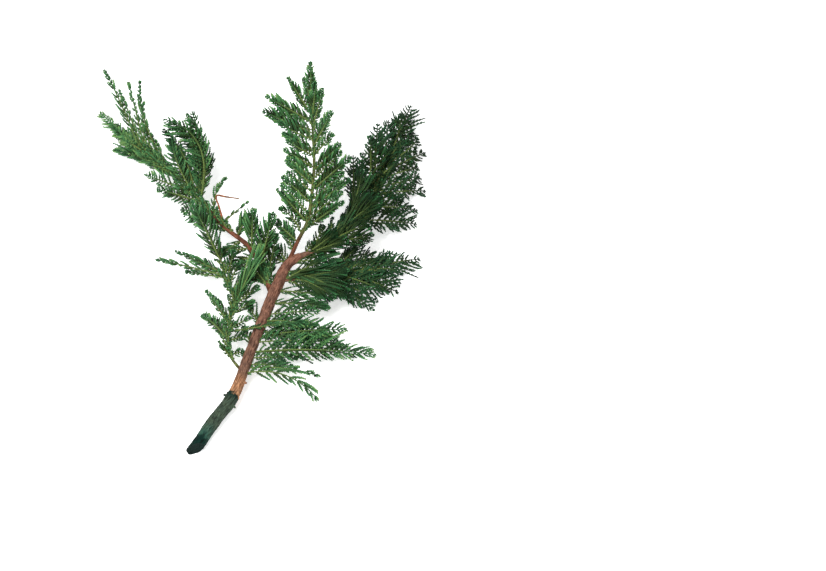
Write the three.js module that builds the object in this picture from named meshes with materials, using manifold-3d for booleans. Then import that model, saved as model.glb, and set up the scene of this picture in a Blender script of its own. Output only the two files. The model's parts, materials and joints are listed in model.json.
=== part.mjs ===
// A preserved thuja branch lying on a surface: a cut, woody stem that forks into limbs,
// and the flat, feathery sprays of scale-leaved branchlets that the stem and limbs carry.
// Millimetres, +Z up. The stem's cut end points towards -Y and the tips towards +Y.
// The origin is on the surface, under the middle of the branch's footprint.
import * as THREE from "three";
import { mergeVertices } from "three/addons/utils/BufferGeometryUtils.js";
import Module from "manifold-3d";

const wasm = await Module();
wasm.setup();

// Driving dimensions
const FOOTPRINT_MIDDLE = [-1.3, 219.4]; // from the drawing point, which is on the surface, level with the cut
const FIT_GAP = 0.3; // between a limb or spray and the wood that it grows from
const CUT_SLANT = [0.85, 0, 0.3]; // the cut's lean: millimetres along the stem for each one to the right and up
const STEM_SIDES = 10;
const LIMB_SIDES = 6;
const RING_SPACING = 18; // between the rings of a limb

const KNOT_SIDES = 6;
const KNOT_TAPER = 0.7; // a knot's radius at its end, as a share of its radius at its root

const SPRAY_THICKNESS = 1.8;
const RACHIS_HALF_WIDTH = 1.1; // a spray's midrib, at its base
const LEAFLET_PITCH = 9.9; // along the midrib, on each side
const LEAFLET_ROOT = 6.4; // a leaflet's width where it leaves the midrib
const LEAFLET_LEAN = THREE.MathUtils.degToRad(48); // between a leaflet and the midrib
const FEWEST_LEAFLETS = 4; // on each side
const BARE_STALK = 0.16; // the share of a midrib that has no leaflets at its base
const LEAFLET_SAG = 0.12; // how far a leaflet's tip hangs below its root, as a share of its reach

const COLOURS = {
  bark: new THREE.Color(0x6d4a38),
  redTwig: new THREE.Color(0x7a4a34),
  greenTwig: new THREE.Color(0x6b7146),
  foliage: new THREE.Color(0x2f5a34),
};

const barkFinish = new THREE.MeshStandardMaterial({ color: COLOURS.bark, roughness: 0.85, metalness: 0 });
const redTwigFinish = new THREE.MeshStandardMaterial({ color: COLOURS.redTwig, roughness: 0.8, metalness: 0 });
const greenTwigFinish = new THREE.MeshStandardMaterial({
  color: COLOURS.greenTwig,
  roughness: 0.7,
  metalness: 0,
});
const foliageFinish = new THREE.MeshStandardMaterial({
  color: COLOURS.foliage,
  roughness: 0.55,
  metalness: 0,
});

// The wood. A limb starts on its parent's centre line, at the share "at" of the parent's length.
// Its route gives the points after that, and its radii run from its foot to its end.
// Its sprays turn their upper faces towards "face".
const LIMBS = [
  {
    name: "main_stem",
    route: [
      [-61, -1, 6.5],
      [-44, 29, 9],
      [-26, 58, 13],
      [-13, 98, 18],
      [-1, 135, 23],
      [11, 169, 27],
      [22, 195, 30],
      [34, 203, 32],
    ],
    radii: [6.5, 6.5, 5.4, 5.1, 5.5, 5.9, 4.2],
    sides: STEM_SIDES,
    finish: barkFinish,
    face: [0.2, -0.3, 0.93],
  },
  {
    name: "left_limb",
    parent: "main_stem",
    at: 0.775,
    route: [
      [-3, 190, 31],
      [-13, 211, 34],
      [-37, 235, 36],
      [-58, 266, 35],
      [-76, 294, 32],
      [-92, 312, 28],
      [-113, 337, 24],
    ],
    radii: [3.0, 2.4, 1.9, 1.2],
    finish: redTwigFinish,
    face: [-0.15, -0.4, 0.9],
  },
  {
    name: "low_left_twig",
    parent: "main_stem",
    at: 0.4,
    route: [
      [-31, 100, 19],
      [-31, 126, 27],
      [-27, 149, 34],
      [-33, 166, 40],
      [-37, 182, 44],
    ],
    radii: [1.6, 1.4, 1.0],
    finish: greenTwigFinish,
    face: [-0.2, -0.45, 0.87],
  },
  {
    name: "middle_limb",
    parent: "main_stem",
    at: 0.92,
    route: [
      [31, 215, 40],
      [39, 228, 50],
      [43, 250, 62],
      [45, 275, 74],
      [44, 300, 86],
      [42, 322, 95],
    ],
    radii: [2.3, 1.9, 1.6, 1.1],
    finish: greenTwigFinish,
    face: [0, -0.64, 0.77],
  },
  {
    name: "right_limb",
    parent: "main_stem",
    at: 1,
    route: [
      [50, 210, 33],
      [66, 230, 33],
      [84, 262, 31],
      [102, 297, 27],
      [115, 333, 22],
    ],
    radii: [3.2, 2.4, 1.8, 1.2],
    finish: redTwigFinish,
    face: [0.1, -0.35, 0.93],
  },
  {
    name: "lower_right_limb",
    parent: "main_stem",
    at: 0.85,
    route: [
      [32, 181, 27],
      [58, 187, 24],
      [90, 198, 18],
    ],
    radii: [2.2, 1.8, 1.2],
    finish: redTwigFinish,
    face: [0.15, -0.3, 0.94],
  },
  {
    name: "snapped_twig",
    parent: "left_limb",
    at: 0.4,
    route: [
      [-40, 247, 46],
      [-43, 255, 54],
      [-34, 252, 56],
      [-22, 249, 57],
    ],
    radii: [1.2, 1.0, 0.8],
    finish: redTwigFinish,
    face: [0, -0.6, 0.8],
  },
];

// The stubs of shed twigs on the main stem: the share of its length at which each one stands, the way it
// points, its radius, and how far its end is from the stem's centre line.
const KNOTS = [
  { at: 0.24, way: [0.8, -0.45, 0.1], radius: 1.9, reach: 8.6 },
  { at: 0.375, way: [0.9, -0.2, 0.35], radius: 1.6, reach: 7.2 },
  { at: 0.36, way: [-0.95, 0.1, 0.3], radius: 1.7, reach: 6.6 },
  { at: 0.93, way: [-0.6, -0.3, 0.75], radius: 2, reach: 6.8 },
];

// The sprays: the share of the limb's length at which each one leaves it, its tip, its full width,
// its turn about its own midrib in degrees, how far its midrib arches up out of a straight line,
// and, where it has one, how far its midrib bends to the left.
const SPRAYS = {
  left_limb: [
    { at: 1, tip: [-146, 441, 12], width: 24, turn: 14, arch: 6 },
    { at: 0.82, tip: [-150, 398, 2.2], width: 27, turn: -12, arch: 3 },
    { at: 0.7, tip: [-137, 345, 0.7], width: 19, turn: -16, arch: 4 },
    { at: 0.8, tip: [-113, 418, 24], width: 28, turn: 20, arch: 4 },
    { at: 0.58, tip: [-92, 356, 42], width: 36, turn: 0, arch: 8, bend: -20 },
    { at: 0.66, tip: [-78, 325, 40], width: 16, turn: 0, arch: 1 },
    { at: 0.47, tip: [-33, 286, 44], width: 18, turn: 10, arch: 3 },
    { at: 0.57, tip: [-98, 292, 20], width: 26, turn: -8, arch: 4 },
    { at: 0.43, tip: [-74, 260, 22], width: 30, turn: -8, arch: 4 },
    { at: 0.33, tip: [-17, 250, 48], width: 20, turn: 10, arch: 2 },
    { at: 0.24, tip: [-10, 240, 57], width: 22, turn: 10, arch: 3 },
    { at: 0.15, tip: [9, 239, 60], width: 24, turn: 10, arch: 4 },
  ],
  low_left_twig: [
    { at: 1, tip: [-66, 254, 52], width: 30, turn: 0, arch: 3 },
    { at: 0.6, tip: [1, 197, 58], width: 22, turn: 0, arch: 2 },
    { at: 0.9, tip: [-98, 214, 14], width: 24, turn: -5, arch: 6 },
    { at: 0.33, tip: [-57, 157, 1.1], width: 26, turn: -10, arch: 4 },
    { at: 0.48, tip: [-53, 172, 22], width: 14, turn: -10, arch: 2 },
  ],
  middle_limb: [
    { at: 0.17, tip: [8, 236, 44], width: 19, turn: 0, arch: 2 },
    { at: 0.3, tip: [11, 256, 64], width: 18, turn: 0, arch: 2 },
    { at: 0.42, tip: [15, 264, 72], width: 18, turn: 0, arch: 2 },
    { at: 0.53, tip: [18, 276, 80], width: 15, turn: 0, arch: 2 },
    { at: 0.64, tip: [16, 284, 86], width: 15, turn: 0, arch: 2 },
    { at: 0.74, tip: [15, 298, 92], width: 19, turn: 0, arch: 2 },
    { at: 0.85, tip: [-3, 320, 96], width: 22, turn: 0, arch: 3 },
    { at: 0.92, tip: [0, 333, 102], width: 20, turn: 0, arch: 3 },
    { at: 0.97, tip: [20, 351, 108], width: 13, turn: 0, arch: 2 },
    { at: 1, tip: [42, 366, 112], width: 18, turn: 0, arch: 2 },
    { at: 0.88, tip: [53, 341, 104], width: 17, turn: 0, arch: 2 },
    { at: 0.77, tip: [62, 321, 96], width: 17, turn: 0, arch: 2 },
    { at: 0.62, tip: [70, 292, 84], width: 18, turn: 0, arch: 2 },
    { at: 0.5, tip: [79, 283, 76], width: 20, turn: 0, arch: 3 },
    { at: 0.38, tip: [78, 266, 66], width: 19, turn: 0, arch: 3 },
    { at: 0.26, tip: [73, 247, 57], width: 18, turn: 0, arch: 3 },
  ],
  right_limb: [
    { at: 1, tip: [132, 398, 12], width: 42, turn: 0, arch: 4 },
    { at: 0.8, tip: [146, 350, 2.1], width: 36, turn: 6, arch: 6 },
    { at: 0.6, tip: [146, 304, 2.2], width: 38, turn: 6, arch: 7 },
    { at: 0.38, tip: [138, 265, 1.9], width: 38, turn: 6, arch: 7 },
    { at: 0.72, tip: [102, 358, 34], width: 34, turn: -8, arch: 4 },
    { at: 0.48, tip: [80, 312, 44], width: 32, turn: -8, arch: 4 },
    { at: 0.25, tip: [107, 256, 52], width: 32, turn: 0, arch: 4 },
    { at: 0.12, tip: [100, 218, 44], width: 32, turn: 0, arch: 4 },
  ],
  lower_right_limb: [
    { at: 1, tip: [141, 224, 2.6], width: 38, turn: 0, arch: 4 },
    { at: 0.75, tip: [122, 184, 2.1], width: 36, turn: 5, arch: 5 },
    { at: 0.42, tip: [100, 164, 1.2], width: 31, turn: 5, arch: 6 },
    { at: 0.6, tip: [89, 230, 21], width: 26, turn: -5, arch: 2 },
    { at: 0.22, tip: [66, 153, 30], width: 30, turn: 0, arch: 4 },
  ],
  main_stem: [
    { at: 0.65, tip: [42, 124, 30], width: 24, turn: 0, arch: 4 },
    { at: 0.575, tip: [76, 131, 14], width: 32, turn: 0, arch: 6 },
    { at: 0.5, tip: [102, 112, 1.4], width: 40, turn: 0, arch: 10 },
    { at: 0.395, tip: [50, 58, 0.9], width: 26, turn: 0, arch: 9 },
  ],
};

const vector = (numbers) => new THREE.Vector3(...numbers);

// A radius part of the way along a limb, between the radii that its list gives at even steps.
function radiusAt(radii, share) {
  const place = share * (radii.length - 1);
  const step = Math.min(Math.floor(place), radii.length - 2);
  return THREE.MathUtils.lerp(radii[step], radii[step + 1], place - step);
}

// The solid that a closed geometry bounds.
function solidOf(geometry) {
  const bare = geometry.clone();
  bare.deleteAttribute("normal");
  bare.deleteAttribute("uv");
  const merged = mergeVertices(bare, 1e-4);
  return new wasm.Manifold(
    new wasm.Mesh({
      numProp: 3,
      vertProperties: merged.attributes.position.array,
      triVerts: new Uint32Array(merged.index.array),
    }),
  );
}

function geometryOf(solid) {
  const { vertProperties, triVerts, numProp } = solid.getMesh();
  const geometry = new THREE.BufferGeometry();
  geometry.setAttribute("position", new THREE.BufferAttribute(new Float32Array(vertProperties), numProp));
  geometry.setIndex(new THREE.BufferAttribute(new Uint32Array(triVerts), 1));
  geometry.computeVertexNormals();
  return geometry;
}

// A round, tapering limb: a cylinder bent along its curve. The main stem's foot is cut on a slant.
function limbGeometry(limb, curve, spare) {
  const length = curve.getLength();
  const sides = limb.sides ?? LIMB_SIDES;
  const rings = Math.max(3, Math.round(length / RING_SPACING));
  const geometry = new THREE.CylinderGeometry(1, 1, 1, sides, rings);
  const frames = curve.computeFrenetFrames(rings, false);
  const slant = vector(CUT_SLANT);
  const spots = geometry.attributes.position;
  for (let i = 0; i < spots.count; i++) {
    const share = THREE.MathUtils.clamp(spots.getY(i) + 0.5, 0, 1);
    const ring = Math.round(share * rings);
    const radius = radiusAt(limb.radii, share) + spare;
    const across = frames.normals[ring].clone().multiplyScalar(spots.getX(i) * radius);
    const round = frames.binormals[ring].clone().multiplyScalar(-spots.getZ(i) * radius);
    const offset = across.add(round);
    const spot = curve.getPointAt(share).add(offset);
    if (!limb.parent && ring === 0) spot.addScaledVector(frames.tangents[0], offset.dot(slant));
    spots.setXYZ(i, spot.x, spot.y, spot.z);
  }
  return geometry;
}

// A short, tapering knot with its root on the stem's centre line.
function knotGeometry(knot, curve) {
  const geometry = new THREE.CylinderGeometry(knot.radius * KNOT_TAPER, knot.radius, knot.reach, KNOT_SIDES);
  geometry.translate(0, knot.reach / 2, 0);
  const upright = new THREE.Vector3(0, 1, 0);
  geometry.applyQuaternion(new THREE.Quaternion().setFromUnitVectors(upright, vector(knot.way).normalize()));
  const root = curve.getPointAt(knot.at);
  return geometry.translate(root.x, root.y, root.z);
}

// Half of a spray's width at a share of its length: it widens quickly from the stalk, then tapers.
function halfWidthAt(share, width) {
  const opening = THREE.MathUtils.smoothstep(share, -0.15, BARE_STALK + 0.2);
  return (width / 2) * opening * Math.pow(1 - share, 0.55);
}

// One edge of a spray's outline, from stalk to tip: the midrib's edge, with a slender leaflet at each pitch.
function outlineEdge(length, width, stagger) {
  const count = Math.max(FEWEST_LEAFLETS, Math.round(length / LEAFLET_PITCH));
  const leafy = length * (1 - BARE_STALK);
  const points = [];
  for (let i = 0; i < count; i++) {
    const root = length * BARE_STALK + (leafy * (i + stagger)) / (count + 0.5);
    const share = root / length;
    const rib = RACHIS_HALF_WIDTH * (1 - 0.6 * share);
    const reach = Math.max(2.5, halfWidthAt(share, width));
    const lean = Math.min(reach / Math.tan(LEAFLET_LEAN), length - root);
    const rootWidth = Math.min(LEAFLET_ROOT, (0.72 * leafy) / count);
    points.push([root, rib], [root + lean, reach], [root + rootWidth, rib]);
  }
  return points;
}

// A spray lying flat: its stalk at the drawing point, its midrib along +X.
function sprayOutline(length, width) {
  const left = outlineEdge(length, width, 0.1);
  const right = outlineEdge(length, width, 0.6).map(([along, across]) => [along, -across]);
  const ring = [[0, RACHIS_HALF_WIDTH], ...left, [length, 0], ...right.reverse(), [0, -RACHIS_HALF_WIDTH]];
  return new THREE.Shape(ring.reverse().map(([along, across]) => new THREE.Vector2(along, across)));
}

// A spray in its place: the flat outline made solid, then bent along its arched midrib.
function sprayGeometry(spray, foot, face) {
  const tip = vector(spray.tip);
  const chord = tip.clone().sub(foot).normalize();
  const up = vector(face).addScaledVector(chord, -vector(face).dot(chord)).normalize();
  up.applyAxisAngle(chord, THREE.MathUtils.degToRad(spray.turn));
  const side = up.clone().cross(chord);
  const crown = foot.clone().lerp(tip, 0.5).addScaledVector(up, 2 * spray.arch);
  crown.addScaledVector(side, 2 * (spray.bend ?? 0));
  const midrib = new THREE.QuadraticBezierCurve3(foot, crown, tip);
  const length = midrib.getLength();

  const geometry = new THREE.ExtrudeGeometry(sprayOutline(length, spray.width), {
    depth: SPRAY_THICKNESS,
    bevelEnabled: false,
  });
  const spots = geometry.attributes.position;
  for (let i = 0; i < spots.count; i++) {
    const share = THREE.MathUtils.clamp(spots.getX(i) / length, 0, 1);
    const across = spots.getY(i);
    const high = spots.getZ(i) - SPRAY_THICKNESS / 2 - LEAFLET_SAG * Math.abs(across);
    const along = midrib.getTangentAt(share);
    const left = side.clone().addScaledVector(along, -side.dot(along)).normalize();
    const spot = midrib.getPointAt(share).addScaledVector(left, across);
    spot.addScaledVector(along.cross(left), high);
    spots.setXYZ(i, spot.x, spot.y, spot.z);
  }
  return geometry;
}

// Where a limb or spray leaves the wood that carries it. One at the very end starts just past it.
function footOn(curve, share) {
  const foot = curve.getPointAt(share);
  return share < 1 ? foot : foot.addScaledVector(curve.getTangentAt(1), FIT_GAP);
}

// A solid trimmed clear of the wood that carries it. A leaflet that the cut leaves loose falls away.
function trimmed(solid, sleeve) {
  const pieces = solid.subtract(sleeve).decompose();
  return pieces.reduce((most, piece) => (piece.volume() > most.volume() ? piece : most));
}

const branch = new THREE.Group();
branch.position.set(-FOOTPRINT_MIDDLE[0], -FOOTPRINT_MIDDLE[1], 0);

const curves = {};
const sleeves = {}; // each limb with the fit gap round it, which trims what grows from it
for (const limb of LIMBS) {
  const points = limb.route.map(vector);
  if (limb.parent) points.unshift(footOn(curves[limb.parent], limb.at));
  const curve = new THREE.CatmullRomCurve3(points, false, "centripetal");
  let solid = solidOf(limbGeometry(limb, curve, 0));
  if (limb.parent) solid = trimmed(solid, sleeves[limb.parent]);
  else solid = KNOTS.reduce((whole, knot) => whole.add(solidOf(knotGeometry(knot, curve))), solid);
  curves[limb.name] = curve;
  sleeves[limb.name] = solidOf(limbGeometry(limb, curve, FIT_GAP));
  const mesh = new THREE.Mesh(geometryOf(solid), limb.finish);
  mesh.name = limb.name;
  branch.add(mesh);
}

for (const limb of LIMBS) {
  (SPRAYS[limb.name] ?? []).forEach((spray, i) => {
    const foot = footOn(curves[limb.name], spray.at);
    const solid = solidOf(sprayGeometry(spray, foot, limb.face));
    const mesh = new THREE.Mesh(geometryOf(trimmed(solid, sleeves[limb.name])), foliageFinish);
    mesh.name = `${limb.name}_spray_${String(i + 1).padStart(2, "0")}`;
    branch.add(mesh);
  });
}

export default branch;
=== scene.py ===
"""Dresses a preserved thuja branch that lies on a pale floor.

The wood follows the same routes as the solids and gets its bark. Each flat spray is grown as one fine mesh of
scale-leaved shoots, in place of its solid. The tables below give millimetres from the drawing's zero point,
which is on the floor, level with the stem's cut end. Meshes are in metres, in the shared frame.
"""

import json
import logging
import math
from collections.abc import Callable, Iterator
from dataclasses import dataclass
from enum import Enum

import bmesh
import bpy
import numpy as np
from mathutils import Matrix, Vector, noise

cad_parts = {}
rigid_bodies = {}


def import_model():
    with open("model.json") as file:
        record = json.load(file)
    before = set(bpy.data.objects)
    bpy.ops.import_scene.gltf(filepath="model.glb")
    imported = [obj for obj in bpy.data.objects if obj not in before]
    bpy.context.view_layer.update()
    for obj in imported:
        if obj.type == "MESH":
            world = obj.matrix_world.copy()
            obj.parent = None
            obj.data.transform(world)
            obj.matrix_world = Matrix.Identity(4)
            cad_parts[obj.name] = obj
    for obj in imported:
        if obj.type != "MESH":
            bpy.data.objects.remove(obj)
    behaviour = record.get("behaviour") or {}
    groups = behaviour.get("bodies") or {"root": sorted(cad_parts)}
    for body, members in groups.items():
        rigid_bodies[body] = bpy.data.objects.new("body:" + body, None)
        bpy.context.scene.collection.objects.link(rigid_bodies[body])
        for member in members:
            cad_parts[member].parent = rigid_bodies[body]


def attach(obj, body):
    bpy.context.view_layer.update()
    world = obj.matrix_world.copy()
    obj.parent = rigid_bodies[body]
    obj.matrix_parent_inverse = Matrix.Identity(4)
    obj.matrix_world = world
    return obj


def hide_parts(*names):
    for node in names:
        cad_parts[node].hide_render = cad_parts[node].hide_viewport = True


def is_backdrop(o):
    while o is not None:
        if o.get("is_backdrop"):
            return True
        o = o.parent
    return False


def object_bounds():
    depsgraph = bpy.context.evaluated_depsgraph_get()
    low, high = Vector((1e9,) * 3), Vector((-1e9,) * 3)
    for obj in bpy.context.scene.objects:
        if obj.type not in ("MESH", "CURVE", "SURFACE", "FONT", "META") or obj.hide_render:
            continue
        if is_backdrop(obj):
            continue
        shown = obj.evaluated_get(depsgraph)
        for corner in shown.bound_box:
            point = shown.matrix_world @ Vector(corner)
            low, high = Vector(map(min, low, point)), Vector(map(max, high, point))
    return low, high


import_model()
CAD_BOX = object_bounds()

LOG = logging.getLogger("thuja_branch")
BODY = "root"

Point = tuple[float, float, float]
Colour = tuple[float, float, float]

# Driving dimensions, in millimetres unless a name says otherwise
MM = 0.001
FOOTPRINT_MIDDLE = np.array([-1.3, 219.4, 0.0])
FIT_GAP = 0.3
BARE_STALK = 0.16
SAG = 0.12
FLOOR_CLEARANCE = 0.15


def in_frame(spots: np.ndarray) -> np.ndarray:
    """Moves points from the drawing, in millimetres, to the shared frame, in metres.

    Args:
        spots: Points in the drawing, one row each.

    Returns:
        The same points in the shared frame.
    """
    return (spots - FOOTPRINT_MIDDLE) * MM


def unit(vectors: np.ndarray) -> np.ndarray:
    """Scales vectors to length one.

    Args:
        vectors: Vectors along the last axis.

    Returns:
        Vectors of the same heading and length one.
    """
    return vectors / np.linalg.norm(vectors, axis=-1, keepdims=True)


def smooth_step(values: np.ndarray | float, low: float, high: float) -> np.ndarray:
    """Rises smoothly from 0 at low to 1 at high.

    Args:
        values: Where to read the step.
        low: Where the rise starts.
        high: Where the rise ends.

    Returns:
        The step's height at each value.
    """
    share = np.clip((np.asarray(values) - low) / (high - low), 0.0, 1.0)
    return share * share * (3 - 2 * share)


class Path:
    """A smooth line through space that is read by the share of its length."""

    STEPS = 40

    def __init__(self, points: np.ndarray) -> None:
        """Measures the line.

        Args:
            points: Close points along the line, one row each.
        """
        gaps = np.linalg.norm(np.diff(points, axis=0), axis=1)
        reached = np.concatenate([[0.0], np.cumsum(gaps)])
        self.points = points
        self.length = float(reached[-1])
        self.shares = reached / self.length
        self.headings = unit(np.gradient(points, reached, axis=0))

    @classmethod
    def through(cls, knots: np.ndarray) -> "Path":
        """Draws the centripetal Catmull-Rom line through given points.

        Args:
            knots: The points that the line passes through, one row each.

        Returns:
            The line.
        """
        posts = np.vstack([2 * knots[0] - knots[1], knots, 2 * knots[-1] - knots[-2]])
        t = np.linspace(0, 1, cls.STEPS, endpoint=False)[:, None]
        stretches = []
        for a, b, c, d in zip(posts, posts[1:], posts[2:], posts[3:]):
            before, between, after = (math.sqrt(np.linalg.norm(q - p)) for p, q in ((a, b), (b, c), (c, d)))
            leave = ((b - a) / before - (c - a) / (before + between) + (c - b) / between) * between
            arrive = ((c - b) / between - (d - b) / (between + after) + (d - c) / after) * between
            square = 3 * (c - b) - 2 * leave - arrive
            cube = 2 * (b - c) + leave + arrive
            stretches.append(b + leave * t + square * t**2 + cube * t**3)
        return cls(np.vstack([*stretches, knots[-1:]]))

    @classmethod
    def arched(cls, foot: np.ndarray, crown: np.ndarray, tip: np.ndarray) -> "Path":
        """Draws one parabola from foot to tip that leans towards its crown.

        Args:
            foot: Where the line starts.
            crown: The point that pulls its middle.
            tip: Where the line ends.

        Returns:
            The line.
        """
        t = np.linspace(0, 1, cls.STEPS + 1)[:, None]
        return cls((1 - t) ** 2 * foot + 2 * t * (1 - t) * crown + t**2 * tip)

    def at(self, shares: np.ndarray | float) -> np.ndarray:
        """Reads the line's points at shares of its length."""
        return np.stack([np.interp(shares, self.shares, column) for column in self.points.T], axis=-1)

    def heading(self, shares: np.ndarray | float) -> np.ndarray:
        """Reads the line's unit headings at shares of its length."""
        return unit(np.stack([np.interp(shares, self.shares, column) for column in self.headings.T], axis=-1))


@dataclass(frozen=True)
class Habit:
    """How a spray carries its branchlets. Angles are in degrees and lengths in millimetres.

    Attributes:
        pitch_share: The spacing of the branchlets, as a share of the spray's width.
        pitch_limits: The least and the most of that spacing.
        lean: The angle at which a branchlet leaves the midrib.
        curl: How far a branchlet turns back towards the midrib's heading.
        side_lean: The angle at which a side shoot leaves its branchlet.
        side_reach: How much of the space between branchlets the side shoots fill.
        side_pitch: The spacing of the side shoots.
        fullness: The share of the branchlets that have grown.
        girth: How wide a branchlet is with its leaves.
        breadth: The share of the spray's width that its branchlets take up.
        forks_from: How long a branchlet has to be to carry side shoots.
    """

    pitch_share: float
    pitch_limits: tuple[float, float]
    lean: float
    curl: float
    side_lean: float
    side_reach: float
    side_pitch: float
    fullness: float
    girth: float
    breadth: float
    forks_from: float


class SprayHabit(Enum):
    """The ways in which this branch's sprays grow."""

    FEATHERY = Habit(
        pitch_share=0.17,
        pitch_limits=(3.0, 6.0),
        lean=54.0,
        curl=16.0,
        side_lean=44.0,
        side_reach=1.1,
        side_pitch=1.9,
        fullness=0.97,
        girth=2.45,
        breadth=1.0,
        forks_from=11.0,
    )
    COMBED = Habit(
        pitch_share=0.17,
        pitch_limits=(3.2, 4.8),
        lean=42.0,
        curl=14.0,
        side_lean=36.0,
        side_reach=0.8,
        side_pitch=2.4,
        fullness=0.95,
        girth=2.4,
        breadth=1.0,
        forks_from=12.0,
    )
    NEEDLED = Habit(
        pitch_share=0.17,
        pitch_limits=(4.2, 5.2),
        lean=28.0,
        curl=12.0,
        side_lean=24.0,
        side_reach=0.9,
        side_pitch=3.2,
        fullness=0.94,
        girth=2.3,
        breadth=1.0,
        forks_from=8.0,
    )
    SPIKED = Habit(
        pitch_share=0.3,
        pitch_limits=(6.5, 7.5),
        lean=24.0,
        curl=8.0,
        side_lean=24.0,
        side_reach=0.3,
        side_pitch=4.0,
        fullness=0.9,
        girth=2.6,
        breadth=0.42,
        forks_from=40.0,
    )
    LOOSE = Habit(
        pitch_share=0.3,
        pitch_limits=(6.5, 8.0),
        lean=19.0,
        curl=7.0,
        side_lean=20.0,
        side_reach=0.2,
        side_pitch=4.0,
        fullness=1.0,
        girth=2.1,
        breadth=1.0,
        forks_from=60.0,
    )
    SPARSE = Habit(
        pitch_share=0.32,
        pitch_limits=(7.0, 9.0),
        lean=38.0,
        curl=10.0,
        side_lean=42.0,
        side_reach=0.6,
        side_pitch=1.7,
        fullness=0.9,
        girth=3.2,
        breadth=1.0,
        forks_from=8.0,
    )


@dataclass(frozen=True)
class Spray:
    """One flat spray. Lengths are in millimetres and angles in degrees.

    Attributes:
        at: Where it leaves its limb, as a share of the limb's length.
        tip: Its tip in the drawing.
        width: How wide it is at its widest.
        turn: How far it is turned about the line from its foot to its tip.
        arch: How far its middle rises above that line.
        habit: How it grows.
        bend: How far its middle lies to the left of that line.
        light: How much lighter its green is than the limb's others: raised where it is fresher, lowered as
            painted shade where it lies under or behind other sprays.
    """

    at: float
    tip: Point
    width: float
    turn: float
    arch: float
    habit: SprayHabit = SprayHabit.FEATHERY
    bend: float = 0.0
    light: float = 0.0


@dataclass(frozen=True)
class Limb:
    """One length of wood with the sprays that it carries.

    Its radii run from foot to end at even steps. Each of its fans lists sprays by number, in the order in
    which they lie side by side, so that lesser sprays can fill the spaces between them. Other lesser sprays
    are given one by one. No short shoots leave the limb on its bare stretches.
    """

    name: str
    slot: str
    route: tuple[Point, ...]
    radii: tuple[float, ...]
    face: Point
    parent: str | None = None
    at: float = 0.0
    sprays: tuple[Spray, ...] = ()
    fans: tuple[tuple[int, ...], ...] = ()
    fill: int = 1
    lesser: tuple[Spray, ...] = ()
    bare: tuple[tuple[float, float], ...] = ()
    shoot_pitch: float = 0.0
    shoot_reach: float = 0.0
    shoots_from: float = 0.0
    light: float = 0.0

    def radius(self, shares: np.ndarray | float) -> np.ndarray:
        """Reads the limb's radius at shares of its length."""
        return np.interp(shares, np.linspace(0, 1, len(self.radii)), self.radii)


FEATHERY = SprayHabit.FEATHERY
COMBED = SprayHabit.COMBED
NEEDLED = SprayHabit.NEEDLED
SPIKED = SprayHabit.SPIKED
LOOSE = SprayHabit.LOOSE
SPARSE = SprayHabit.SPARSE

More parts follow.
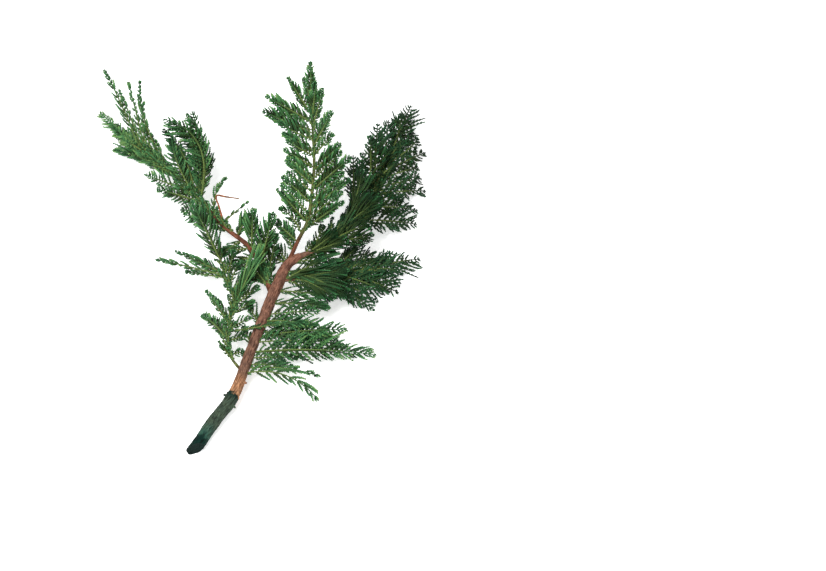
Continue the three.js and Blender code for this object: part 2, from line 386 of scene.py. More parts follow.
LIMBS = (
    Limb(
        name="main_stem",
        slot="bark",
        route=(
            (-61, -1, 6.5),
            (-44, 29, 9),
            (-26, 58, 13),
            (-13, 98, 18),
            (-1, 135, 23),
            (11, 169, 27),
            (22, 195, 30),
            (34, 203, 32),
        ),
        radii=(6.5, 6.5, 5.4, 5.1, 5.5, 5.9, 4.2),
        face=(0.2, -0.3, 0.93),
        sprays=(
            Spray(0.65, (42, 124, 30), 24, 0, 4),
            Spray(0.575, (76, 131, 14), 32, 0, 6),
            Spray(0.5, (102, 112, 1.4), 40, 0, 10),
            Spray(0.395, (50, 58, 0.9), 26, 0, 9, SPARSE, bend=9),
        ),
        fans=((3, 2, 1),),
        lesser=(
            Spray(0.74, (61, 150, 22), 24, 0, 3, NEEDLED, light=-0.2),
            Spray(0.68, (51, 146, 22), 24, 0, 3, light=-0.15),
            Spray(0.6, (68, 122, 8), 26, 0, 4, light=-0.1),
            Spray(0.47, (32, 103, 8), 20, 0, 3),
            Spray(0.95, (72, 198, 32), 24, 0, 2, NEEDLED, light=-0.25),
            Spray(0.9, (63, 172, 28), 24, 0, 3, NEEDLED, light=-0.25),
            Spray(0.8, (58, 160, 26), 22, 0, 3, NEEDLED, light=-0.2),
            Spray(0.62, (-16, 156, 26), 16, 0, 1, COMBED, light=-0.15),
            Spray(0.52, (-20, 134, 18), 14, 0, 1, COMBED, light=-0.1),
            Spray(0.45, (-20, 110, 14), 12, 0, 1, COMBED),
            Spray(0.44, (28, 94, 8), 16, 0, 2, COMBED, light=-0.1),
            Spray(0.42, (52, 86, 2), 14, 0, 4, SPARSE, bend=3),
        ),
    ),
    Limb(
        name="left_limb",
        slot="red_twig",
        parent="main_stem",
        at=0.775,
        route=(
            (-3, 190, 31),
            (-13, 211, 34),
            (-37, 235, 36),
            (-58, 266, 35),
            (-76, 294, 32),
            (-92, 312, 28),
            (-113, 337, 24),
        ),
        radii=(3.0, 2.4, 1.9, 1.2),
        face=(-0.15, -0.4, 0.9),
        sprays=(
            Spray(1, (-146, 441, 12), 24, 14, 6, SPIKED, light=0.06),
            Spray(0.82, (-150, 398, 2.2), 27, -12, 3, light=0.25),
            Spray(0.7, (-138, 354, 0.7), 17, -16, 4, NEEDLED, bend=-5),
            Spray(0.8, (-113, 418, 24), 20, 20, 4, SPIKED, bend=9, light=0.06),
            Spray(0.58, (-92, 356, 42), 36, 0, 8, bend=-20),
            Spray(0.66, (-78, 325, 40), 16, 0, 1, light=-0.1),
            Spray(0.47, (-33, 286, 44), 20, 10, 3, SPIKED, bend=5),
            Spray(0.57, (-98, 292, 20), 26, -8, 4),
            Spray(0.43, (-74, 260, 22), 30, -8, 4),
            Spray(0.33, (-13, 242, 46), 20, 10, 2, COMBED),
            Spray(0.24, (-10, 240, 57), 22, 10, 3, COMBED),
            Spray(0.15, (9, 234, 58), 24, 10, 4, COMBED),
        ),
        fans=((9, 8, 3, 2), (6, 5)),
        shoot_pitch=2.4,
        shoot_reach=26,
        shoots_from=0.03,
        bare=((0.12, 0.34), (0.65, 0.71)),
        lesser=(
            Spray(0.6, (-87, 359, 36), 26, 0, 6, bend=-15, light=-0.15),
            Spray(0.62, (-71, 360, 46), 22, 0, 5, bend=-10, light=-0.05),
            Spray(0.58, (-66, 359, 50), 30, 0, 4, bend=-6, light=-0.05),
            Spray(0.6, (-80, 348, 38), 24, 0, 4, bend=-18, light=-0.3),
            Spray(0.62, (-92, 350, 36), 22, 0, 3, bend=-6, light=-0.35),
            Spray(0.64, (-88, 340, 34), 18, 0, 3, bend=-6, light=-0.35),
            # These comb-like sprays fill the space behind the stem's top and are darkened as painted shade.
            Spray(0.1, (-3, 226, 44), 18, 0, 2, COMBED, light=-0.3),
            Spray(0.07, (12, 221, 44), 18, 0, 2, COMBED, light=-0.3),
            Spray(0.05, (-15, 191, 38), 16, 0, 2, COMBED, light=-0.25),
            Spray(0.03, (8, 198, 30), 18, 0, 1, COMBED, light=-0.3),
            Spray(0.25, (-38, 207, 30), 18, 0, 2, COMBED, light=-0.25),
            Spray(0.15, (-26, 192, 30), 18, 0, 2, COMBED, light=-0.25),
            Spray(0.08, (-16, 178, 30), 18, 0, 2, COMBED, light=-0.25),
            Spray(0.3, (-42, 203, 30), 18, 0, 2, COMBED, light=-0.3),
            Spray(0.2, (-31, 196, 30), 18, 0, 2, COMBED, light=-0.3),
            Spray(0.1, (-22, 182, 26), 22, 0, 2, COMBED, light=-0.4),
            Spray(0.06, (-13, 190, 28), 22, 0, 2, COMBED, light=-0.4),
            Spray(0.12, (-8, 214, 36), 22, 0, 2, COMBED, light=-0.4),
            Spray(0.42, (-13, 253, 50), 12, 0, 1, SPIKED),
            Spray(0.84, (-141, 382, 6), 22, -12, 3, light=0.22),
            Spray(0.8, (-132, 362, 8), 20, -12, 3, light=0.15),
            Spray(0.98, (-132, 414, 16), 18, 14, 3, SPIKED, light=0.1),
            Spray(0.96, (-124, 420, 20), 18, 14, 3, SPIKED, light=0.1),
            Spray(0.94, (-109, 391, 26), 16, 14, 2, SPIKED, bend=3, light=0.1),
            Spray(0.9, (-107, 369, 26), 14, 14, 2, SPIKED, bend=2, light=0.05),
            Spray(0.86, (-103, 352, 28), 12, 14, 2, SPIKED),
            Spray(0.82, (-99, 343, 30), 12, 14, 2, SPIKED),
        ),
    ),
    Limb(
        name="low_left_twig",
        slot="green_twig",
        parent="main_stem",
        at=0.4,
        route=((-31, 100, 19), (-31, 126, 27), (-27, 149, 34), (-33, 166, 40), (-37, 182, 44)),
        radii=(1.6, 1.4, 1.0),
        face=(-0.2, -0.45, 0.87),
        sprays=(
            Spray(1, (-66, 254, 52), 30, 0, 3, COMBED),
            Spray(0.6, (1, 197, 58), 22, 0, 2, LOOSE, light=0.34),
            Spray(0.9, (-98, 214, 14), 24, -5, 6, SPIKED),
            Spray(0.33, (-57, 159, 1.1), 18, -10, 4, bend=-3, light=0.1),
            Spray(0.48, (-53, 172, 22), 10, -10, 2, COMBED),
        ),
        shoot_pitch=3.0,
        shoot_reach=23,
        shoots_from=0.12,
        light=-0.07,
        lesser=(
            Spray(0.2, (-16, 104, 16), 12, 0, 1),
            Spray(0.32, (-14, 120, 20), 14, 0, 1),
            Spray(0.42, (-10, 137, 26), 14, 0, 1),
            Spray(0.55, (-7, 151, 33), 16, 0, 1, NEEDLED),
            Spray(0.75, (-12, 177, 46), 16, 0, 1, NEEDLED, light=0.05),
            Spray(0.88, (-72, 199, 14), 22, -5, 4, SPIKED),
            Spray(0.92, (-81, 214, 26), 22, -5, 4, SPIKED),
            Spray(0.9, (-63, 199, 30), 16, -5, 2, COMBED, light=-0.1),
            Spray(0.4, (40, 127, 31), 16, 0, 4, SPIKED, light=-0.1),
            Spray(0.62, (-3, 162, 40), 16, 0, 2, COMBED, light=-0.2),
            Spray(0.7, (-9, 172, 42), 16, 0, 2, COMBED, light=-0.2),
            Spray(0.8, (-22, 186, 44), 16, 0, 2, COMBED, light=-0.2),
            Spray(0.85, (-26, 202, 44), 16, 0, 2, COMBED, light=-0.2),
            Spray(0.65, (-16, 170, 34), 18, 0, 2, COMBED, light=-0.3),
        ),
    ),
    Limb(
        name="middle_limb",
        slot="green_twig",
        parent="main_stem",
        at=0.92,
        route=((31, 215, 40), (39, 228, 50), (43, 250, 62), (45, 275, 74), (44, 300, 86), (42, 322, 95)),
        radii=(2.3, 1.9, 1.6, 1.1),
        face=(0, -0.64, 0.77),
        sprays=(
            Spray(0.17, (8, 236, 44), 19, 0, 2),
            Spray(0.3, (11, 256, 64), 18, 0, 2),
            Spray(0.42, (15, 264, 72), 18, 0, 2),
            Spray(0.53, (18, 276, 80), 15, 0, 2),
            Spray(0.64, (16, 284, 86), 15, 0, 2),
            Spray(0.74, (15, 298, 92), 19, 0, 2),
            Spray(0.85, (-3, 320, 96), 22, 0, 3),
            Spray(0.92, (0, 333, 102), 20, 0, 3),
            Spray(0.97, (20, 351, 108), 13, 0, 2),
            Spray(1, (42, 366, 112), 18, 0, 2),
            Spray(0.88, (53, 341, 104), 17, 0, 2),
            Spray(0.77, (62, 321, 96), 17, 0, 2),
            Spray(0.62, (70, 292, 84), 18, 0, 2),
            Spray(0.5, (79, 283, 76), 20, 0, 3),
            Spray(0.38, (78, 266, 66), 19, 0, 3),
            Spray(0.26, (73, 247, 57), 18, 0, 3),
        ),
        fans=((1, 2, 3, 4, 5, 6, 7, 8), (9, 10, 11), (12, 13, 14, 15, 16)),
        shoot_pitch=9.0,
        shoot_reach=20,
        shoots_from=0.2,
        light=-0.03,
        lesser=(
            # These are darkened as painted shade, behind the stem's top.
            Spray(0.03, (10, 216, 30), 20, 0, 1, COMBED, light=-0.3),
            Spray(0.02, (2, 208, 28), 20, 0, 1, COMBED, light=-0.3),
            Spray(0.1, (19, 232, 40), 18, 0, 1, COMBED, light=-0.2),
        ),
    ),
    Limb(
        name="right_limb",
        slot="red_twig",
        parent="main_stem",
        at=1,
        route=((50, 210, 33), (66, 230, 33), (84, 262, 31), (102, 297, 27), (115, 333, 22)),
        radii=(3.2, 2.4, 1.8, 1.2),
        face=(0.1, -0.35, 0.93),
        sprays=(
            Spray(1, (132, 398, 12), 42, 0, 4),
            Spray(0.8, (146, 350, 2.1), 36, 6, 6),
            Spray(0.6, (146, 304, 2.2), 38, 6, 7),
            Spray(0.38, (138, 265, 1.9), 38, 6, 7),
            Spray(0.72, (102, 358, 34), 34, -8, 4),
            Spray(0.48, (80, 312, 44), 32, -8, 4),
            Spray(0.25, (107, 256, 52), 32, 0, 4, NEEDLED),
            Spray(0.12, (100, 218, 44), 32, 0, 4, COMBED),
        ),
        fans=((4, 3, 2, 1, 5, 6, 7, 8),),
        fill=2,
        shoot_pitch=3.0,
        shoot_reach=34,
        shoots_from=0.0,
        # Painted shade: this limb's green is darkened as though neighbouring branches lay over it.
        light=-0.56,
        lesser=(
            Spray(0.05, (78, 210, 46), 24, 0, 3, NEEDLED, light=0.02),
            Spray(0.03, (67, 218, 48), 22, 0, 2, NEEDLED, light=0.05),
            Spray(0.06, (54, 229, 46), 18, 0, 2, COMBED),
            Spray(0.02, (44, 213, 42), 16, 0, 1, COMBED),
        ),
    ),
    Limb(
        name="lower_right_limb",
        slot="red_twig",
        parent="main_stem",
        at=0.85,
        route=((32, 181, 27), (58, 187, 24), (90, 198, 18)),
        radii=(2.2, 1.8, 1.2),
        face=(0.15, -0.3, 0.94),
        sprays=(
            Spray(1, (141, 224, 2.6), 38, 0, 4),
            Spray(0.75, (122, 184, 2.1), 36, 5, 5),
            Spray(0.42, (100, 164, 1.2), 31, 5, 6),
            Spray(0.6, (89, 230, 21), 26, -5, 2, NEEDLED),
            Spray(0.22, (66, 153, 30), 30, 0, 4, NEEDLED),
        ),
        fans=((5, 3, 2, 1, 4),),
        fill=2,
        shoot_pitch=3.0,
        shoot_reach=34,
        shoots_from=0.05,
        # Painted shade: this limb's green is darkened as though neighbouring branches lay over it.
        light=-0.48,
        lesser=(
            Spray(0.15, (78, 186, 32), 26, 0, 3, NEEDLED),
            Spray(0.05, (58, 194, 40), 24, 0, 3, NEEDLED),
        ),
    ),
    Limb(
        name="snapped_twig",
        slot="red_twig",
        parent="left_limb",
        at=0.4,
        route=((-40, 247, 46), (-43, 255, 54), (-34, 252, 56), (-22, 249, 57)),
        radii=(1.2, 1.0, 0.8),
        face=(0, -0.6, 0.8),
    ),
)


class NodeSheet:
    """A material's node tree with short calls for the nodes that these finishes use."""

    def __init__(self, name: str) -> None:
        """Starts a material with only its shader and output.

        Args:
            name: The material's name.
        """
        self.material = bpy.data.materials.new(name)
        self.material.use_nodes = True
        self.tree = self.material.node_tree
        self.shader = self.tree.nodes["Principled BSDF"]

    def add(self, kind: str, **settings: object) -> bpy.types.Node:
        """Adds a node and sets its own properties.

        Args:
            kind: The node's type name.
            **settings: Properties of the node.

        Returns:
            The new node.
        """
        node = self.tree.nodes.new(kind)
        for key, value in settings.items():
            setattr(node, key, value)
        return node

    def link(self, source: bpy.types.NodeSocket, target: bpy.types.NodeSocket) -> None:
        """Joins an output to an input."""
        self.tree.links.new(source, target)

    def attribute(self, name: str) -> bpy.types.Node:
        """Adds a reader for one of the mesh's own attributes."""
        return self.add("ShaderNodeAttribute", attribute_name=name)

    def noise(self, where: bpy.types.NodeSocket, scale: float, detail: float = 3.0) -> bpy.types.NodeSocket:
        """Adds cloudy noise.

        Args:
            where: The coordinates to read.
            scale: How many clouds fit in one unit of them.
            detail: How many finer layers are added.

        Returns:
            The noise's value.
        """
        node = self.add("ShaderNodeTexNoise")
        node.inputs["Scale"].default_value = scale
        node.inputs["Detail"].default_value = detail
        self.link(where, node.inputs["Vector"])
        return node.outputs["Fac"]

    def sum(self, a: bpy.types.NodeSocket, b: bpy.types.NodeSocket, share: float) -> bpy.types.NodeSocket:
        """Adds a share of one value, counted from its middle, to another.

        Args:
            a: The main value.
            b: The value that sways it, from 0 to 1.
            share: How far b moves a.

        Returns:
            a + (b - 0.5) * share.
        """
        node = self.add("ShaderNodeMath", operation="MULTIPLY_ADD")
        self.link(b, node.inputs[0])
        node.inputs[1].default_value = share
        self.link(a, node.inputs[2])
        shift = self.add("ShaderNodeMath", operation="SUBTRACT")
        self.link(node.outputs[0], shift.inputs[0])
        shift.inputs[1].default_value = share / 2
        return shift.outputs[0]

    def ramp(
        self, value: bpy.types.NodeSocket, stops: tuple[tuple[float, Colour], ...]
    ) -> bpy.types.NodeSocket:
        """Turns a value into colours.

        Args:
            value: The value to read, from 0 to 1.
            stops: Places along the ramp and the colours there.

        Returns:
            The ramp's colour.
        """
        node = self.add("ShaderNodeValToRGB")
        elements = node.color_ramp.elements
        while len(elements) < len(stops):
            elements.new(1.0)
        for element, (place, colour) in zip(elements, stops):
            element.position = place
            element.color = (*colour, 1.0)
        self.link(value, node.inputs["Fac"])
        return node.outputs["Color"]

    def mix(
        self,
        share: bpy.types.NodeSocket | float,
        a: bpy.types.NodeSocket | Colour,
        b: bpy.types.NodeSocket | Colour,
        way: str = "MIX",
    ) -> bpy.types.NodeSocket:
        """Mixes two colours.

        Args:
            share: How much of b shows.
            a: The first colour.
            b: The second colour.
            way: How b is laid on a.

        Returns:
            The mixed colour.
        """
        node = self.add("ShaderNodeMix", data_type="RGBA", blend_type=way)
        for value, socket in ((share, node.inputs[0]), (a, node.inputs[6]), (b, node.inputs[7])):
            if isinstance(value, bpy.types.NodeSocket):
                self.link(value, socket)
            else:
                socket.default_value = value if isinstance(value, float) else (*value, 1.0)
        return node.outputs[2]

    def coat(self, colour: bpy.types.NodeSocket, roughness: float, specular: float) -> None:
        """Sets the surface's colour and sheen.

        Args:
            colour: The colour.
            roughness: How matt the surface is.
            specular: How strongly it mirrors light.
        """
        self.link(colour, self.shader.inputs["Base Color"])
        self.shader.inputs["Roughness"].default_value = roughness
        self.shader.inputs["Specular IOR Level"].default_value = specular

    def bump(self, height: bpy.types.NodeSocket, strength: float, distance: float) -> None:
        """Roughens the surface by a height.

        Args:
            height: The height's value.
            strength: How much of the relief shows.
            distance: The relief's depth in metres.
        """
        node = self.add("ShaderNodeBump")
        node.inputs["Strength"].default_value = strength
        node.inputs["Distance"].default_value = distance
        self.link(height, node.inputs["Height"])
        self.link(node.outputs["Normal"], self.shader.inputs["Normal"])


@dataclass(frozen=True)
class FoliageFinish:
    """Dyed, glycerine-soft scale leaves: dark green, brighter and yellower towards the shoots' tips, and
    darker at their feet and on lower or shaded sprays as painted shade.
    """

    # The darkest stop is painted shade, for the shade inside dense foliage.
    deep: Colour = (0.001, 0.016, 0.003)
    body: Colour = (0.023, 0.1, 0.032)
    fresh: Colour = (0.077, 0.235, 0.082)
    tip: Colour = (0.19, 0.34, 0.105)
    teal: Colour = (0.03, 0.105, 0.052)
    olive: Colour = (0.16, 0.22, 0.06)
    teal_share: float = 0.4
    patches_per_metre: float = 28.0
    specks_per_metre: float = 420.0
    roughness: float = 0.55
    specular: float = 0.1

    def material(self) -> bpy.types.Material:
        """Builds the finish.

        Returns:
            The material.
        """
        sheet = NodeSheet("dyed_foliage")
        place = sheet.add("ShaderNodeTexCoord").outputs["Object"]
        patch = sheet.noise(place, self.patches_per_metre)
        fine = sheet.noise(place, self.specks_per_metre, 2.0)
        tone = sheet.attribute("tone").outputs["Fac"]
        fresh = sheet.attribute("fresh").outputs["Fac"]
        woody = sheet.attribute("woody").outputs["Fac"]
        # The ramp reads how fresh each whorl is, lowered at the shoots' feet and on lower or shaded sprays as
        # painted shade, and swayed by random tone, patches and specks.
        fresh_and_painted_shade = sheet.sum(sheet.sum(sheet.sum(fresh, tone, 0.6), patch, 0.6), fine, 0.35)
        green = sheet.ramp(fresh_and_painted_shade, ((0.0, self.deep), (0.36, self.body), (0.7, self.fresh), (1.0, self.tip)))
        cool = sheet.ramp(patch, ((0.42, (0.0,) * 3), (0.68, (self.teal_share,) * 3)))
        dyed = sheet.mix(cool, green, self.teal)
        sheet.coat(sheet.mix(woody, dyed, self.olive), self.roughness, self.specular)
        sheet.bump(fine, 0.35, 0.4 * MM)
        return sheet.material


@dataclass(frozen=True)
class WoodFinish:
    """Bark whose colour changes along the limb, with grain, flecks and fine relief.

    Attributes:
        name: The finish's name.
        zones: Shares of the limb's length and the colours there.
        length: The limb's length in millimetres.
        crack: What the zone's colour is multiplied by in the cracks.
        fleck_brightness: How much brighter the flecks are than their zone.
        fleck_share: How fully the flecks cover the bark under them.
        streak_share: How fully the cracks darken the bark.
        wander: How far the zones' borders stray, as a share of the length.
        stretch: What lengths along the limb are multiplied by, so that the grain is long and thin.
        roughness: How matt the bark is.
        specular: How strongly it mirrors light.
    """

    name: str
    zones: tuple[tuple[float, Colour], ...]
    length: float
    crack: Colour = (0.28, 0.22, 0.2)
    fleck_brightness: float = 2.3
    fleck_share: float = 0.55
    streak_share: float = 0.85
    wander: float = 0.06
    stretch: float = 0.22
    roughness: float = 0.82
    specular: float = 0.1

    def material(self) -> bpy.types.Material:
        """Builds the finish.

        Returns:
            The material.
        """
        sheet = NodeSheet(self.name)
        grain = sheet.attribute("grain").outputs["Vector"]
        split = sheet.add("ShaderNodeSeparateXYZ")
        sheet.link(grain, split.inputs[0])
        along = sheet.add("ShaderNodeMapRange")
        along.inputs["From Max"].default_value = self.length
        sheet.link(split.outputs["X"], along.inputs["Value"])
        stretched = sheet.add("ShaderNodeMapping")
        stretched.inputs["Scale"].default_value = (self.stretch, 1.0, 1.0)
        sheet.link(grain, stretched.inputs["Vector"])
        streak = sheet.noise(stretched.outputs["Vector"], 0.85, 5.0)
        cloud = sheet.noise(grain, 0.16, 3.0)
        speck = sheet.noise(stretched.outputs["Vector"], 1.3, 3.0)
        zone = sheet.ramp(sheet.sum(along.outputs[0], cloud, self.wander), self.zones)
        dark = sheet.ramp(streak, ((0.36, (self.streak_share,) * 3), (0.54, (0.0,) * 3)))
        pale = sheet.ramp(speck, ((0.56, (0.0,) * 3), (0.68, (self.fleck_share,) * 3)))
        blotch = sheet.ramp(cloud, ((0.4, (0.72, 0.72, 0.74)), (0.62, (1.2, 1.16, 1.1))))
        mottled = sheet.mix(1.0, zone, blotch, "MULTIPLY")
        barky = sheet.mix(dark, mottled, self.crack, "MULTIPLY")
        flake = sheet.mix(1.0, zone, (self.fleck_brightness,) * 3, "MULTIPLY")
        sheet.coat(sheet.mix(pale, barky, flake), self.roughness, self.specular)
        sheet.bump(streak, 0.7, 1.2 * MM)
        return sheet.material


@dataclass(frozen=True)
class CutFinish:
    """The dyed end grain of the cut: dark teal green with faint growth rings.

    Attributes:
        ring: The colour of the rings.
        wood: The colour between them.
        ring_turn: How fast the rings' wave turns, in radians a millimetre.
        roughness: How matt the cut is.
        specular: How strongly it mirrors light.
    """

    ring: Colour = (0.001, 0.008, 0.006)
    wood: Colour = (0.004, 0.02, 0.015)
    ring_turn: float = 5.5
    roughness: float = 0.7
    specular: float = 0.12

    def material(self) -> bpy.types.Material:
        """Builds the finish.

        Returns:
            The material.
        """
        sheet = NodeSheet("dyed_cut")
        grain = sheet.attribute("grain").outputs["Vector"]
        flat = sheet.add("ShaderNodeMapping")
        flat.inputs["Scale"].default_value = (0.0, 1.0, 1.0)
        sheet.link(grain, flat.inputs["Vector"])
        radius = sheet.add("ShaderNodeVectorMath", operation="LENGTH")
        sheet.link(flat.outputs["Vector"], radius.inputs[0])
        wave = sheet.add("ShaderNodeMath", operation="SINE")
        turns = sheet.add("ShaderNodeMath", operation="MULTIPLY")
        turns.inputs[1].default_value = self.ring_turn
        sheet.link(radius.outputs["Value"], turns.inputs[0])
        sheet.link(turns.outputs[0], wave.inputs[0])
        cloud = sheet.noise(grain, 0.7)
        value = sheet.sum(cloud, wave.outputs[0], 0.25)
        colour = sheet.ramp(value, ((0.3, self.ring), (0.75, self.wood)))
        sheet.coat(colour, self.roughness, self.specular)
        sheet.bump(value, 0.5, 0.6 * MM)
        return sheet.material


# Colours of the wood, from the dyed foot to the leafy ends
DYED = (0.048, 0.073, 0.05)
DYED_TEAL = (0.028, 0.083, 0.06)
DYED_DARK = (0.003, 0.02, 0.015)
BARE_WOOD = (0.36, 0.19, 0.1)
TAN = (0.3, 0.15, 0.08)
WARM_BROWN = (0.215, 0.1, 0.068)
PALE_BROWN = (0.3, 0.17, 0.08)
BRIGHT_RED = (0.34, 0.115, 0.055)
DRY_TIP = (0.24, 0.12, 0.05)
BROWN = (0.165, 0.09, 0.062)
RED_BROWN = (0.15, 0.058, 0.034)
OLIVE = (0.105, 0.125, 0.04)
LEAF_GREEN = (0.05, 0.12, 0.04)

WOOD_ZONES: dict[str, tuple[tuple[float, Colour], ...]] = {
    "main_stem": (
        (0.0, DYED_DARK),
        (0.05, DYED_DARK),
        (0.065, DYED_TEAL),
        (0.13, DYED),
        (0.25, DYED),
        (0.285, DYED_DARK),
        (0.292, BARE_WOOD),
        (0.35, TAN),
        (0.4, BROWN),
        (1.0, WARM_BROWN),
    ),
    "left_limb": (
        (0.0, RED_BROWN),
        (0.58, RED_BROWN),
        (0.64, PALE_BROWN),
        (0.72, OLIVE),
        (1.0, LEAF_GREEN),
    ),
    "low_left_twig": ((0.0, RED_BROWN), (0.08, OLIVE), (0.4, LEAF_GREEN), (1.0, LEAF_GREEN)),
    "middle_limb": ((0.0, RED_BROWN), (0.16, RED_BROWN), (0.24, OLIVE), (0.7, OLIVE), (1.0, LEAF_GREEN)),
    "right_limb": ((0.0, BROWN), (0.45, RED_BROWN), (0.7, OLIVE), (1.0, LEAF_GREEN)),
    "lower_right_limb": ((0.0, BROWN), (0.5, RED_BROWN), (0.75, OLIVE), (1.0, LEAF_GREEN)),
    "snapped_twig": ((0.0, RED_BROWN), (0.4, BRIGHT_RED), (1.0, DRY_TIP)),
}


@dataclass(frozen=True)
class Stub:
    """What is left of a shed twig.

    Attributes:
        at: Where it stands, as a share of the stem's length.
        turn: Where it stands round the stem, in degrees.
        height: How far it stands out, in millimetres.
    """

    at: float
    turn: float
    height: float


@dataclass(frozen=True)
class Relief:
    """One kind of relief in bark: how fine it is along and across the limb, and its share of the depth."""

    along: float
    across: float
    share: float

    def grain(self, spot: Vector) -> Vector:
        """Stretches a place on the rod for noise that follows the grain."""
        return Vector((spot.x * self.along, spot.y * self.across, spot.z * self.across))


@dataclass
class WoodBuilder:
    """Models a limb's wood: a straight, tapering rod with relief, which is then bent along its route.

    Attributes:
        limb: The limb.
        path: Its centre line.
        sides: How many sides the rod has before it is rounded.
        ring_pitch: The spacing of its rings, in millimetres.
        levels: How often it is subdivided.
        relief: The depth of the bark's relief, in millimetres.
        overrun: How far the rod starts before the centre line, in millimetres.
        stubs: The stubs of shed twigs on it.
        ledge: Where the bark steps down, as a share of the length, or 0 for no ledge.
    """

    limb: Limb
    path: Path
    sides: int
    ring_pitch: float
    levels: int
    relief: float
    overrun: float = 0.0
    stubs: tuple[Stub, ...] = ()
    ledge: float = 0.0

    SWELL = Relief(along=0.06, across=0.12, share=0.9)
    RIDGE = Relief(along=0.09, across=0.42, share=0.75)
    LUMP = Relief(along=0.45, across=0.5, share=0.45)
    LUMP_SHIFT = (17, 3, 5)
    LEDGE_HEIGHT = 0.9
    LEDGE_SWAY = 0.006
    LEDGE_RISE = 0.09
    LEDGE_DROP = 0.009
    STUB_LEAN = -0.35
    STUB_TAPER = 0.75
    STUB_FOOT_RIM = 0.15
    STUB_END_RIM = 0.3

    def build(self) -> bpy.types.Object:
        """Models the wood and puts it in its place.

        Returns:
            The wood's object.
        """
        rod = self.straight_rod()
        for stub in self.stubs:
            self.raise_stub(rod, stub)
        self.soften(rod)
        self.keep_grain(rod)
        self.carve_bark(rod)
        self.bend(rod)
        return rod

    def straight_rod(self) -> bpy.types.Object:
        """Extrudes the rod ring by ring along +X.

        Returns:
            The rod's object, in metres.
        """
        whole = self.path.length + self.overrun
        rings = max(4, round(whole / self.ring_pitch))
        step = whole / rings
        shares = np.clip((np.arange(rings + 1) * step - self.overrun) / self.path.length, 0, 1)
        radii = self.limb.radius(shares)
        bpy.ops.object.select_all(action="DESELECT")
        bpy.ops.mesh.primitive_cylinder_add(
            vertices=self.sides,
            radius=radii[0] * MM,
            depth=step * MM,
            end_fill_type="NGON",
            location=(step * MM / 2, 0, 0),
            rotation=(0, math.pi / 2, 0),
        )
        rod = bpy.context.object
        rod.name = f"{self.limb.name}_wood"
        bpy.ops.object.transform_apply(location=True, rotation=True, scale=True)
        bpy.ops.object.mode_set(mode="EDIT")
        bpy.ops.mesh.select_mode(type="FACE")
        self.select_face(rod, Vector((step * MM, 0, 0)))
        bpy.ops.transform.resize(value=(1, radii[1] / radii[0], radii[1] / radii[0]))
        for ring in range(2, rings + 1):
            taper = radii[ring] / radii[ring - 1]
            bpy.ops.mesh.extrude_region_move(TRANSFORM_OT_translate={"value": (step * MM, 0, 0)})
            bpy.ops.transform.resize(value=(1, taper, taper))
        bpy.ops.object.mode_set(mode="OBJECT")
        return rod

    def select_face(self, rod: bpy.types.Object, near: Vector) -> None:
        """Selects, in edit mode, only the face whose middle is nearest to a place.

        Args:
            rod: The object that is being edited.
            near: The place, in metres.
        """
        bpy.ops.mesh.select_all(action="DESELECT")
        sculpt = bmesh.from_edit_mesh(rod.data)
        nearest = min(sculpt.faces, key=lambda face: (face.calc_center_median() - near).length)
        nearest.select_set(True)
        bmesh.update_edit_mesh(rod.data)

    def raise_stub(self, rod: bpy.types.Object, stub: Stub) -> None:
        """Draws one face of the rod out into the stub of a twig.

        Args:
            rod: The straight rod.
            stub: The stub to raise.
        """
        radius = float(self.limb.radius(stub.at))
        turn = math.radians(stub.turn)
        out = Vector((self.STUB_LEAN, math.cos(turn), math.sin(turn)))
        place = Vector((self.overrun + stub.at * self.path.length, radius * out.y, radius * out.z)) * MM
        bpy.ops.object.mode_set(mode="EDIT")
        self.select_face(rod, place)
        bpy.ops.mesh.inset(thickness=self.STUB_FOOT_RIM * MM)
        bpy.ops.mesh.extrude_region_move(TRANSFORM_OT_translate={"value": out * stub.height * MM})
        bpy.ops.transform.resize(value=(self.STUB_TAPER,) * 3)
        bpy.ops.mesh.inset(thickness=self.STUB_END_RIM * MM)
        bpy.ops.object.mode_set(mode="OBJECT")

    def soften(self, rod: bpy.types.Object) -> None:
        """Rounds the rod by subdivision.

        Args:
            rod: The straight rod.
        """
        modifier = rod.modifiers.new("Round", "SUBSURF")
        modifier.levels = modifier.render_levels = self.levels
        bpy.context.view_layer.objects.active = rod
        bpy.ops.object.modifier_apply(modifier=modifier.name)

    def keep_grain(self, rod: bpy.types.Object) -> None:
        """Keeps the straight rod's coordinates, in millimetres from its foot, for the bark's grain.

        Args:
            rod: The straight rod.
        """
        spots = np.empty(len(rod.data.vertices) * 3, np.float32)
        rod.data.vertices.foreach_get("co", spots)
        grain = spots.reshape(-1, 3) / MM - (self.overrun, 0, 0)
        layer = rod.data.attributes.new("grain", "FLOAT_VECTOR", "POINT")
        layer.data.foreach_set("vector", grain.astype(np.float32).ravel())

    def carve_bark(self, rod: bpy.types.Object) -> None:
        """Moves the rod's skin in and out into long, shallow ridges, swellings and small lumps.

        Args:
            rod: The straight rod.
        """
        for vertex in rod.data.vertices:
            spot = vertex.co / MM
            across = Vector((0, vertex.co.y, vertex.co.z))
            if across.length < 1e-7:
                continue
            swell = noise.noise(self.SWELL.grain(spot))
            ridge = noise.turbulence(self.RIDGE.grain(spot), 3, False) - 0.5
            lump = noise.noise(self.LUMP.grain(spot) + Vector(self.LUMP_SHIFT))
            carved = self.SWELL.share * swell + self.RIDGE.share * ridge + self.LUMP.share * lump
            depth = self.relief * carved
            if self.ledge:
                share = (spot.x - self.overrun) / self.path.length + self.LEDGE_SWAY * swell
                rise = smooth_step(share, self.ledge - self.LEDGE_RISE, self.ledge)
                drop = smooth_step(share, self.ledge, self.ledge + self.LEDGE_DROP)
                depth += self.LEDGE_HEIGHT * float(rise - drop)
            vertex.co += across.normalized() * depth * MM

